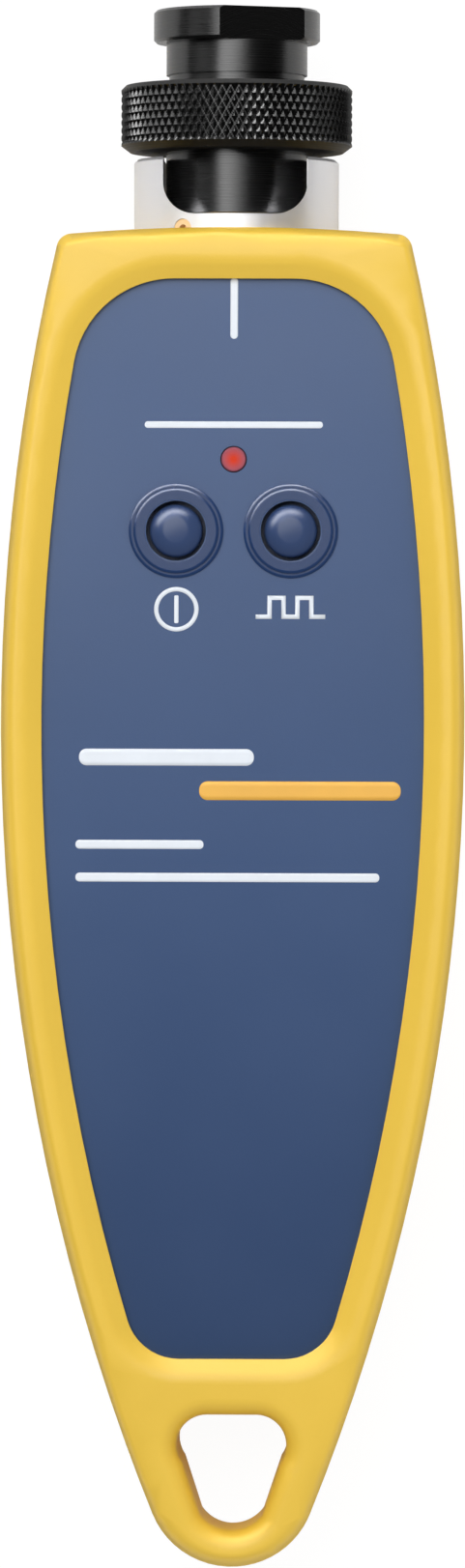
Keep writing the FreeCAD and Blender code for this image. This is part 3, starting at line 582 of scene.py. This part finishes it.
# ---------------- mesh making
def new_piece(name: str, points: np.ndarray, faces: np.ndarray | list) -> Piece:
    """Put points and faces into a smoothly shaded piece at the origin.

    Args:
        name: the piece's name.
        points: n by 3, in metres.
        faces: corner numbers, three or four to a face.

    Returns:
        The piece's object.
    """
    mesh = bpy.data.meshes.new(name)
    mesh.from_pydata(points.tolist(), [], faces if isinstance(faces, list) else faces.tolist())
    mesh.polygons.foreach_set("use_smooth", np.ones(len(mesh.polygons), bool))
    mesh.update()
    piece = bpy.data.objects.new(name, mesh)
    bpy.context.scene.collection.objects.link(piece)
    return piece


def grid_faces(rows: int, columns: int, wrap_rows: bool, wrap_columns: bool) -> np.ndarray:
    """Corner numbers of a grid's quads.

    Args:
        rows: points along the first parameter.
        columns: points along the second parameter.
        wrap_rows: the last row joins the first.
        wrap_columns: the last column joins the first.

    Returns:
        Each cell's corners (row, column), (row + 1, column) and so on.
    """
    row = np.arange(rows if wrap_rows else rows - 1)[:, None]
    column = np.arange(columns if wrap_columns else columns - 1)[None, :]
    next_row = (row + 1) % rows
    next_column = (column + 1) % columns
    corners = [row * columns + column, next_row * columns + column,
               next_row * columns + next_column, row * columns + next_column]
    return np.stack([np.broadcast_to(c, np.broadcast_shapes(row.shape, column.shape)).ravel()
                     for c in corners], axis=1)


def crease(piece: Piece, angle: float) -> None:
    """Keep edges sharper than an angle in degrees, and weigh normals by face size."""
    piece.data.set_sharp_from_angle(angle=math.radians(angle))
    piece.modifiers.new("soft_normals", "WEIGHTED_NORMAL").keep_sharp = True


def dressed(piece: Piece, finish: Palette, body: str) -> Piece:
    """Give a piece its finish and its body.

    Args:
        piece: the piece.
        finish: its finish.
        body: the body that it moves with.

    Returns:
        The piece.
    """
    finish.on(piece)
    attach(piece, body)
    return piece


def dress_nodes(finishes: dict[str, Palette]) -> None:
    """Give the frame's own nodes their finishes."""
    for node, finish in finishes.items():
        finish.on(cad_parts[node])


def merged_copy(node: str, name: str, finish: Palette, body: str = "case", angle: float = 30.0) -> Piece:
    """Copy a frame node with its loose triangles joined, and dress it.

    Args:
        node: the frame node's name.
        name: the new piece's name.
        finish: its finish.
        body: the body that it moves with.
        angle: edges sharper than this stay creased, in degrees.

    Returns:
        The new piece, which stands for the node.
    """
    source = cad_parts[node].data
    places = np.empty(len(source.vertices) * 3, np.float32)
    source.vertices.foreach_get("co", places)
    corners = np.empty(len(source.loops), np.int32)
    source.loops.foreach_get("vertex_index", corners)
    places = places.reshape(-1, 3).astype(float)
    _, first, same = np.unique(np.round(places / WELD).astype(np.int64), axis=0,
                               return_index=True, return_inverse=True)
    faces = same.reshape(-1)[corners].reshape(-1, 3)
    whole = np.all(faces != np.roll(faces, 1, axis=1), axis=1)
    piece = new_piece(name, places[first], faces[whole])
    crease(piece, angle)
    return dressed(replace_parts(piece, node), finish, body)


def sloped(runs: tuple[Run, ...], steps: int = 8) -> np.ndarray:
    """Section line from runs of changing slope.

    Args:
        runs: (length, slope at its start, slope at its end), slopes in
            degrees below the level.
        steps: pieces of each run.

    Returns:
        n by 2 of (way out, height), starting at zero: the sums of the
        cosines and sines of the slope along the line.
    """
    share = (np.arange(steps) + 0.5) / steps
    slope = np.radians(np.concatenate([start + (end - start) * share for _, start, end in runs]))
    piece = np.repeat([length / steps for length, _, _ in runs], steps)
    line = np.cumsum(np.column_stack([piece * np.cos(slope), -piece * np.sin(slope)]), axis=0)
    return np.vstack([[0.0, 0.0], line])


def spun(name: str, profile: np.ndarray, centre: Point, closed: bool, steps: int = 96) -> Piece:
    """Surface of a section turned round an upright line.

    Args:
        name: the piece's name.
        profile: n by 2 of (radius, height) in millimetres, outwards on top.
        centre: the line's place, in millimetres.
        closed: the section's end joins its start; otherwise both ends lie
            on the line, and fans of triangles close them.
        steps: points round the line.

    Returns:
        The piece: x and y are the centre plus radius times the sine and
        cosine of the turn.
    """
    turn = np.linspace(0, 2 * math.pi, steps, endpoint=False)[:, None]
    rings = profile if closed else profile[1:-1]
    points = np.stack([centre[0] + rings[None, :, 0] * np.sin(turn),
                       centre[1] + rings[None, :, 0] * np.cos(turn),
                       np.broadcast_to(rings[None, :, 1], (steps, len(rings)))], axis=-1).reshape(-1, 3)
    faces = grid_faces(steps, len(rings), True, closed).tolist()
    if not closed:
        poles = [[*centre, profile[0, 1]], [*centre, profile[-1, 1]]]
        first = np.arange(steps) * len(rings)
        last = first + len(rings) - 1
        ends = np.full(steps, len(points))
        faces += np.column_stack([ends, np.roll(first, -1), first]).tolist()
        faces += np.column_stack([ends + 1, last, np.roll(last, -1)]).tolist()
        points = np.vstack([points, poles])
    return new_piece(name, points * MM, faces)


# ---------------- sub-assemblies
@dataclass
class Crown:
    """Crowned front shared by the case, its print and its buttons."""

    top: float = 24.0
    radius: float = 600.0
    peak: float = 9.5
    recess: float = 1.6

    def height(self, along: np.ndarray | float) -> np.ndarray | float:
        """Height of the case's face: an arc of the crown, less its recess."""
        inner = self.radius - self.recess
        return self.top - self.radius + np.sqrt(inner ** 2 - (np.asarray(along) - self.peak) ** 2)


@dataclass
class Boot:
    """Rubber boot."""

    name: str = "rubber_boot"
    crease_angle: float = 50.0

    def build(self) -> list[Piece]:
        """Make and dress the boot."""
        return [merged_copy("boot", self.name, Palette.BOOT, angle=self.crease_angle)]


@dataclass
class Case:
    """Two moulded shells, the door and the screws."""

    crease_angle: float = 50.0

    def build(self) -> list[Piece]:
        """Make and dress the shells, door and screws."""
        return [merged_copy("front_shell", "front_shell_skin", Palette.FACE, angle=self.crease_angle),
                merged_copy("rear_shell", "rear_shell_skin", Palette.CASE, angle=self.crease_angle),
                merged_copy("battery_door", "door_panel", Palette.CASE, "door"),
                merged_copy("case_screws", "pan_screws", Palette.ZINC)]


@dataclass
class Print:
    """Plain marks printed on the crowned face."""

    crown: Crown = field(default_factory=Crown)
    lift: float = 0.02
    thickness: float = 0.03
    line_width: float = 0.68
    line_low: float = 40.25
    line_high: float = 45.75
    stroke: float = 0.39
    power_place: Point = (-5.1, 15.9)
    power_radius: float = 2.0
    power_bar: float = 2.5
    pulse_place: Point = (5.15, 16.1)
    pulse_step: float = 1.25
    pulse_height: float = 1.7
    line_corner: float = 0.98
    power_corner: float = 0.3
    bar_corner: float = 0.45
    corner_steps: int = 10
    strip_points: int = 5
    ring_steps: int = 72
    bars: tuple[tuple[str, float, float, float, float, Palette], ...] = (
        ("upper_rule", -8.0, 8.0, 32.5, 0.6, Palette.WHITE_INK),
        ("white_bar", -13.8, 1.9, 2.6, 1.5, Palette.WHITE_INK),
        ("amber_bar", -3.0, 15.1, -0.4, 1.7, Palette.AMBER_INK),
        ("short_rule", -14.1, -2.6, -5.25, 0.8, Palette.WHITE_INK),
        ("long_rule", -14.1, 13.2, -8.2, 0.8, Palette.WHITE_INK))

    def lay(self, name: str, plan: np.ndarray, faces: np.ndarray,
            finish: Palette = Palette.WHITE_INK) -> Piece:
        """Lay a flat mark on the face.

        Args:
            name: the piece's name.
            plan: n by 2 places, in millimetres.
            faces: corner numbers.
            finish: the ink.

        Returns:
            The mark: each point at the face's height there plus the lift,
            made solid downwards.
        """
        height = self.crown.height(plan[:, 1]) + self.lift
        piece = new_piece(name, np.column_stack([plan, height]) * MM, faces)
        body = piece.modifiers.new("ink_body", "SOLIDIFY")
        body.thickness = self.thickness * MM
        body.offset = -1.0
        return dressed(piece, finish, "case")

    def bar(self, name: str, low: Point, high: Point, corner: float,
            finish: Palette = Palette.WHITE_INK) -> Piece:
        """Rounded bar between two corners.

        Args:
            name: the piece's name.
            low: lower left corner.
            high: upper right corner.
            corner: corner radius.
            finish: the ink.

        Returns:
            The bar: a strip across its longer way, whose half width follows
            a quarter circle at each end.
        """
        size = np.array(high) - np.array(low)
        middle = (np.array(high) + np.array(low)) / 2
        length, width = max(size) / 2, min(size) / 2
        turn = np.linspace(0, math.pi / 2, self.corner_steps)
        end = length - corner + corner * np.cos(turn)
        along = np.concatenate([-end, end[::-1]])
        half = width - corner + corner * np.concatenate([np.sin(turn), np.sin(turn[::-1])])
        across = np.linspace(-1, 1, self.strip_points)[None, :] * half[:, None]
        lengthwise = np.broadcast_to(along[:, None], across.shape)
        ways = (lengthwise, across) if size[0] >= size[1] else (-across, lengthwise)
        plan = middle + np.stack(ways, axis=-1).reshape(-1, 2)
        return self.lay(name, plan, grid_faces(len(along), self.strip_points, False, False), finish)

    def ring(self, name: str, centre: Point, outer: float, inner: float) -> Piece:
        """Flat ring.

        Args:
            name: the piece's name.
            centre: its middle.
            outer: outer radius.
            inner: inner radius.

        Returns:
            The ring, as circles of two radii.
        """
        turn = np.linspace(0, 2 * math.pi, self.ring_steps, endpoint=False)
        circle = np.column_stack([np.cos(turn), np.sin(turn)])
        plan = (np.array(centre) + np.array([outer, inner])[:, None, None] * circle[None]).reshape(-1, 2)
        return self.lay(name, plan, grid_faces(2, self.ring_steps, False, True)[:, ::-1])

    def pulse(self, name: str) -> Piece:
        """Square wave below the second button.

        Args:
            name: the piece's name.

        Returns:
            The wave: its path moved half a stroke to each side, with
            corners mitred.
        """
        path = np.array([(-2.5, -1), (-1.5, -1), (-1.5, 1), (-0.5, 1), (-0.5, -1), (0.5, -1), (0.5, 1),
                         (1.5, 1), (1.5, -1), (2.5, -1)])
        path = path * (self.pulse_step, self.pulse_height / 2) + self.pulse_place
        way = np.diff(path, axis=0)
        way /= np.linalg.norm(way, axis=1)[:, None]
        side = np.column_stack([-way[:, 1], way[:, 0]])
        before, after = np.vstack([side[:1], side]), np.vstack([side, side[-1:]])
        mitre = (before + after) / (1 + np.sum(before * after, axis=1))[:, None]
        reach = np.array([-self.stroke / 2, self.stroke / 2])[:, None, None]
        plan = (path[None] + reach * mitre[None]).reshape(-1, 2)
        return self.lay(name, plan, grid_faces(2, len(path), False, False)[:, ::-1])

    def build(self) -> list[Piece]:
        """Make every mark.

        Returns:
            The marks.
        """
        half = self.line_width / 2
        x, y = self.power_place
        bar = self.power_bar / 2
        pieces = [self.bar("index_line", (-half, self.line_low), (half, self.line_high),
                           half * self.line_corner),
                  self.ring("power_ring", self.power_place, self.power_radius,
                            self.power_radius - self.stroke),
                  self.bar("power_bar", (x - self.stroke / 2, y - bar), (x + self.stroke / 2, y + bar),
                           self.stroke * self.power_corner),
                  self.pulse("pulse_sign")]
        for name, left, right, y, tall, ink in self.bars:
            pieces.append(self.bar(name, (left, y - tall / 2), (right, y + tall / 2),
                                   tall * self.bar_corner, ink))
        return pieces


@dataclass
class Keypad:
    """Two press buttons, the stepped rings round them and the status light."""

    crown: Crown = field(default_factory=Crown)
    cap_radius: float = 2.38
    flange: float = 0.8
    cap_runs: tuple[Run, ...] = (
        (0.9, 0, 6), (0.2, 6, 18), (0.85, 18, 40), (0.35, 40, 65), (0.4, 65, 90))
    hole_radius: float = 2.7
    inner_edge: float = 0.1
    inner_steps: int = 6
    high_step: Point = (3.6, 0.61)
    low_step: Point = (4.02, 0.33)
    bevel_runs: tuple[Run, ...] = ((0.25, 20, 40), (0.02, 40, 90))
    sunk: float = 0.2
    hold: float = 0.02
    crease_angle: float = 40.0

    @staticmethod
    def spot(node: str) -> tuple[np.ndarray, np.ndarray, Point]:
        """Low corner, high corner and middle in plan of a frame's cap, in millimetres."""
        low, high = (np.array(corner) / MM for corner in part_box(node))
        return low, high, (float(low[0] + high[0]) / 2, float(low[1] + high[1]) / 2)

    def cap(self, node: str, name: str) -> Piece:
        """Domed cap with a bevelled shoulder.

        Args:
            node: the frame's cap, which gives the place and the heights.
            name: the piece's name.

        Returns:
            The cap: a section of runs that steepen from the crown to the
            wall, scaled to the cap's radius, then the wall and the flange.
        """
        low, high, centre = self.spot(node)
        line = sloped(self.cap_runs)
        line *= self.cap_radius / line[-1, 0]
        flange_radius = (high[0] - low[0]) / 2
        under = low[2] + self.flange
        foot = np.array([(self.cap_radius, under), (flange_radius, under), (flange_radius, low[2]),
                         (0.0, low[2])])
        profile = np.vstack([line + (0.0, high[2]), foot])
        piece = spun(name, profile, centre, False)
        crease(piece, self.crease_angle)
        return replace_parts(piece, node)

    def bezel(self, node: str, name: str) -> Piece:
        """Stepped ring that stands round a cap.

        Args:
            node: the frame's cap, which gives the place.
            name: the piece's name.

        Returns:
            The ring: a rounded inner edge, a level top, and a bevel and a
            short wall at each of its two steps, above the case's face.
            Points close to a level's edges keep its shading flat.
        """
        centre = self.spot(node)[2]
        bend = np.linspace(0, math.pi / 2, self.inner_steps)
        edge = np.column_stack([-np.cos(bend), np.sin(bend)]) * self.inner_edge
        top_edge = edge + (self.hole_radius + self.inner_edge, self.high_step[1] - self.inner_edge)
        bevel = sloped(self.bevel_runs)
        wall = self.high_step[0] + bevel[-1, 0]
        foot = np.array([(self.low_step[0] + bevel[-1, 0], -self.sunk), (self.hole_radius, -self.sunk)])
        hold = np.array([self.hold, 0.0])
        profile = np.vstack([top_edge, top_edge[-1] + hold, self.high_step - hold, bevel + self.high_step,
                             (wall, self.low_step[1]), (wall + self.hold, self.low_step[1]),
                             self.low_step - hold, bevel + self.low_step, foot])
        profile[:, 1] += self.crown.height(centre[1])
        piece = spun(name, profile, centre, True)
        crease(piece, self.crease_angle)
        return piece

    def build(self) -> list[Piece]:
        """Make and dress the buttons and the light's parts.

        Returns:
            The pieces.
        """
        pieces = []
        for side in ("power", "flash"):
            cap = self.cap(f"{side}_button", f"{side}_cap")
            bezel = self.bezel(f"{side}_button", f"{side}_bezel")
            pieces += [dressed(cap, Palette.BUTTON, f"{side}_key"),
                       dressed(bezel, Palette.BEZEL, "case")]
            dress_nodes({f"{side}_switch": Palette.SWITCH, f"{side}_switch_stem": Palette.SWITCH})
        dress_nodes({"indicator_led": Palette.LED})
        lens = merged_copy("indicator_lens", "status_lens", Palette.LENS, angle=self.crease_angle)
        return pieces + [lens]


@dataclass
class Inside:
    """Cells, contacts and board, seen only with the door open."""

    finishes: dict[str, Palette] = field(default_factory=lambda: {
        "circuit_board": Palette.RESIST, "board_parts": Palette.CHIP, "left_cell": Palette.LEFT_JACKET,
        "right_cell": Palette.RIGHT_JACKET, "tail_contact": Palette.NICKEL,
        "positive_contact": Palette.NICKEL, "negative_contact": Palette.NICKEL})

    def build(self) -> list[Piece]:
        """Dress the frame's own nodes; there is no new piece."""
        dress_nodes(self.finishes)
        return []


@dataclass
class LightSource:
    """Collar, laser barrel, diode, lens, stub and set screws."""

    finishes: dict[str, Palette] = field(default_factory=lambda: {
        "laser_diode": Palette.GOLD_CAN, "laser_lens": Palette.LASER_LENS,
        "ferrule_stub": Palette.CERAMIC})

    def build(self) -> list[Piece]:
        """Make and dress the pieces round the laser.

        Returns:
            The new pieces.
        """
        dress_nodes(self.finishes)
        return [merged_copy("collar", "port_collar", Palette.COLLAR),
                merged_copy("set_screws", "centring_screws", Palette.CENTRING_SCREW),
                merged_copy("laser_housing", "laser_barrel", Palette.LASER_BARREL)]


@dataclass
class PortAdapter:
    """Screw-on adapter with its knurled ring and sleeve."""

    bore: float = 6.42
    low: float = 57.6
    high: float = 63.65
    radius: float = 10.5
    top_chamfer: float = 0.4
    low_chamfer_in: float = 0.8
    low_chamfer_up: float = 0.6
    diamonds: int = 86
    diamond_length: float = 1.4
    depth: float = 0.24
    tip: float = 0.82
    fade_length: float = 0.15
    samples: int = 8
    crease_angle: float = 24.0

    def knurl(self, turn: np.ndarray, along: np.ndarray) -> np.ndarray:
        """Depth of the knurl at a turn and a place along the axis.

        Args:
            turn: angle about the axis, in radians.
            along: place from the band's start, in millimetres.

        Returns:
            How far the surface lies below the ring's radius: two crossed
            families of grooves, each a triangle wave; the nearer groove
            wins, and the diamonds' tips are slightly flat.
        """
        round_way = self.diamonds * turn / (2 * math.pi)
        lean = along / self.diamond_length
        waves = [1 - np.abs(2 * ((round_way + side * lean) % 1.0) - 1) for side in (1, -1)]
        height = np.minimum(np.minimum(waves[0], waves[1]), self.tip) / self.tip
        return self.depth * (1 - height)

    def ring(self) -> Piece:
        """Ring with real diamonds.

        Returns:
            The section turned round the axis, with its band lowered by the
            knurl, which fades out at both chamfers.
        """
        band_low = self.low + self.low_chamfer_up
        band_high = self.high - self.top_chamfer
        step = self.diamond_length / self.samples
        rows = int(round((band_high - band_low) / step)) + 1
        band = np.linspace(band_low, band_high, rows)
        steps = self.diamonds * self.samples
        turn = np.linspace(0, 2 * math.pi, steps, endpoint=False)[:, None]
        fade = np.clip(np.minimum(band - band_low, band_high - band) / self.fade_length, 0, 1)
        lowered = self.radius - self.knurl(turn, band[None] - band_low) * fade[None]
        ends = np.array([self.radius - self.top_chamfer, self.bore, self.bore,
                         self.radius - self.low_chamfer_in])
        along = np.concatenate([band, [self.high, self.high, self.low, self.low]])
        radius = np.concatenate([lowered, np.broadcast_to(ends, (steps, len(ends)))], axis=1)
        points = np.stack([radius * np.sin(turn), np.broadcast_to(along, radius.shape),
                           AXIS_HEIGHT + radius * np.cos(turn)], axis=-1)
        faces = grid_faces(steps, len(along), True, True)
        piece = new_piece("diamond_ring", points.reshape(-1, 3) * MM, faces)
        crease(piece, self.crease_angle)
        dressed(piece, Palette.KNURL, "port_adapter")
        piece.data.materials.append(Palette.RING_EDGE.value.material())
        past_band = np.arange(len(faces)) % len(along) >= rows - 1
        piece.data.polygons.foreach_set("material_index", past_band.astype(np.int32))
        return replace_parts(piece, "knurled_ring")

    def build(self) -> list[Piece]:
        """Make and dress the adapter.

        Returns:
            Its pieces.
        """
        dress_nodes({"alignment_sleeve": Palette.CERAMIC})
        return [merged_copy("adapter_barrel", "turned_barrel", Palette.BARREL, "port_adapter"),
                self.ring()]


# ---------------- studio
@dataclass
class Studio:
    """Pale floor, one soft lamp, pale surround and the camera."""

    distance: float = 870.0
    scale: float = 11.378
    image_height: int = 1623
    sensor: float = 36.0
    clip: Point = (0.01, 20.0)
    centre: Point = (-0.2, 0.21)
    turn: float = 0.18
    side_step: float = 16.0
    floor_size: float = 4.0
    floor_points: int = 9
    floor_drop: float = 0.00005
    floor_light: float = 1.05
    floor_share: float = 0.9
    lamp_place: Run = (-0.2, 0.5, 1.1)
    lamp_size: Point = (1.05, 0.95)
    lamp_power: float = 12.0
    horizon: float = 0.1
    overhead_level: float = 0.015
    window_bearing: float = 20.0
    window_reach: Point = (0.52, 0.85)
    window_foot: float = 0.3
    window_head: float = 0.6
    window_edge: float = 0.08
    window_level: float = 20.0
    fill_level: float = 0.48
    fill_across: float = 0.28
    fill_along: float = -0.26

    def camera(self) -> None:
        """Look down from a little to the right, far enough for the view's perspective."""
        data = bpy.data.cameras.new("view_camera")
        data.sensor_width = self.sensor
        data.lens = self.sensor * self.scale * math.hypot(self.distance, self.side_step) / self.image_height
        data.clip_start, data.clip_end = self.clip
        camera = bpy.data.objects.new("view_camera", data)
        camera.location = ((self.centre[0] + self.side_step) * MM, self.centre[1] * MM,
                           (AXIS_HEIGHT + self.distance) * MM)
        camera.rotation_mode = "ZYX"
        camera.rotation_euler = (0.0, math.atan2(self.side_step, self.distance), math.radians(self.turn))
        bpy.context.scene.collection.objects.link(camera)
        bpy.context.scene.camera = camera

    def floor(self) -> None:
        """White floor that keeps the object's faint shadow.

        To the camera it mostly glows, and it is clear from below.
        """
        steps = np.linspace(-self.floor_size / 2, self.floor_size / 2, self.floor_points)
        across, along = np.meshgrid(steps, steps, indexing="ij")
        points = np.stack([across, along, np.full_like(across, -self.floor_drop)], axis=-1).reshape(-1, 3)
        piece = new_piece("studio_floor", points, grid_faces(len(steps), len(steps), False, False))
        Palette.PAPER.on(piece)
        nodes = piece.active_material.node_tree.nodes
        graph = Graph(piece.active_material.node_tree)
        light = graph.add("ShaderNodeEmission", {"Color": (1, 1, 1, 1), "Strength": self.floor_light})
        above = graph.add("ShaderNodeMixShader", {
            0: graph.calc("MULTIPLY", graph.seen(), self.floor_share),
            1: nodes["Principled BSDF"].outputs[0], 2: light.outputs[0]})
        whole = graph.add("ShaderNodeMixShader", {
            0: graph.add("ShaderNodeNewGeometry").outputs["Backfacing"],
            1: above.outputs[0], 2: graph.add("ShaderNodeBsdfTransparent").outputs[0]})
        graph.feed(nodes["Material Output"].inputs["Surface"], whole.outputs[0])

    def world(self) -> None:
        """Surround that is white to the camera.

        In gloss it is bright at the horizon, dim overhead, and holds a tall
        window: a band of heights within a wide angle of one bearing. As
        plain light it grows across and along the tool.
        """
        world = bpy.data.worlds.new("pale_surround")
        world.use_nodes = True
        bpy.context.scene.world = world
        graph = Graph(world.node_tree)
        background = world.node_tree.nodes["Background"]
        x, y, z = graph.axes(graph.add("ShaderNodeTexCoord").outputs["Generated"])
        bearing = math.radians(self.window_bearing)
        toward = graph.calc("ADD", graph.calc("MULTIPLY", x, -math.sin(bearing)),
                            graph.calc("MULTIPLY", y, math.cos(bearing)))
        wide = graph.ramp(graph.calc("DIVIDE", toward, graph.length(x, y)), *self.window_reach)
        rise = graph.ramp(z, self.window_foot, self.window_foot + self.window_edge)
        fall = graph.ramp(z, self.window_head, self.window_head - self.window_edge)
        window = graph.calc("MULTIPLY", graph.calc("MULTIPLY", rise, fall), wide)
        gloss = graph.calc("ADD", graph.ramp(z, 0.0, self.horizon, 1.0, self.overhead_level),
                           graph.calc("MULTIPLY", window, self.window_level))
        slope = graph.calc("ADD", graph.calc("MULTIPLY", x, self.fill_across),
                           graph.calc("MULTIPLY", y, self.fill_along))
        level = graph.mix(graph.add("ShaderNodeLightPath").outputs["Is Glossy Ray"],
                          graph.calc("ADD", slope, self.fill_level), gloss)
        graph.feed(background.inputs["Strength"], graph.mix(graph.seen(), level, 1.0))
        background.inputs["Color"].default_value = (1.0, 1.0, 1.0, 1.0)

    def lamp(self) -> None:
        """Hang one soft rectangular lamp, aimed at the object."""
        data = bpy.data.lights.new("overhead_softbox", "AREA")
        data.shape = "RECTANGLE"
        data.size, data.size_y = self.lamp_size
        data.energy = self.lamp_power
        lamp = bpy.data.objects.new("overhead_softbox", data)
        lamp.location = self.lamp_place
        lamp.rotation_euler = (-Vector(self.lamp_place)).to_track_quat("-Z", "Y").to_euler()
        bpy.context.scene.collection.objects.link(lamp)

    def build(self) -> None:
        """Set the whole studio up."""
        self.floor()
        self.world()
        self.camera()
        self.lamp()
        bpy.context.scene.view_settings.view_transform = "Standard"


def main() -> None:
    """Build the tool, then the studio."""
    logging.basicConfig(level=logging.INFO, format="%(name)s: %(message)s")
    for part in (Boot(), Case(), Print(), Keypad(), Inside(), LightSource(), PortAdapter()):
        for piece in part.build():
            log.info("%s: %s, %d faces", type(part).__name__, piece.name, len(piece.data.polygons))
    Studio().build()


if __name__ == "__main__":
    main()
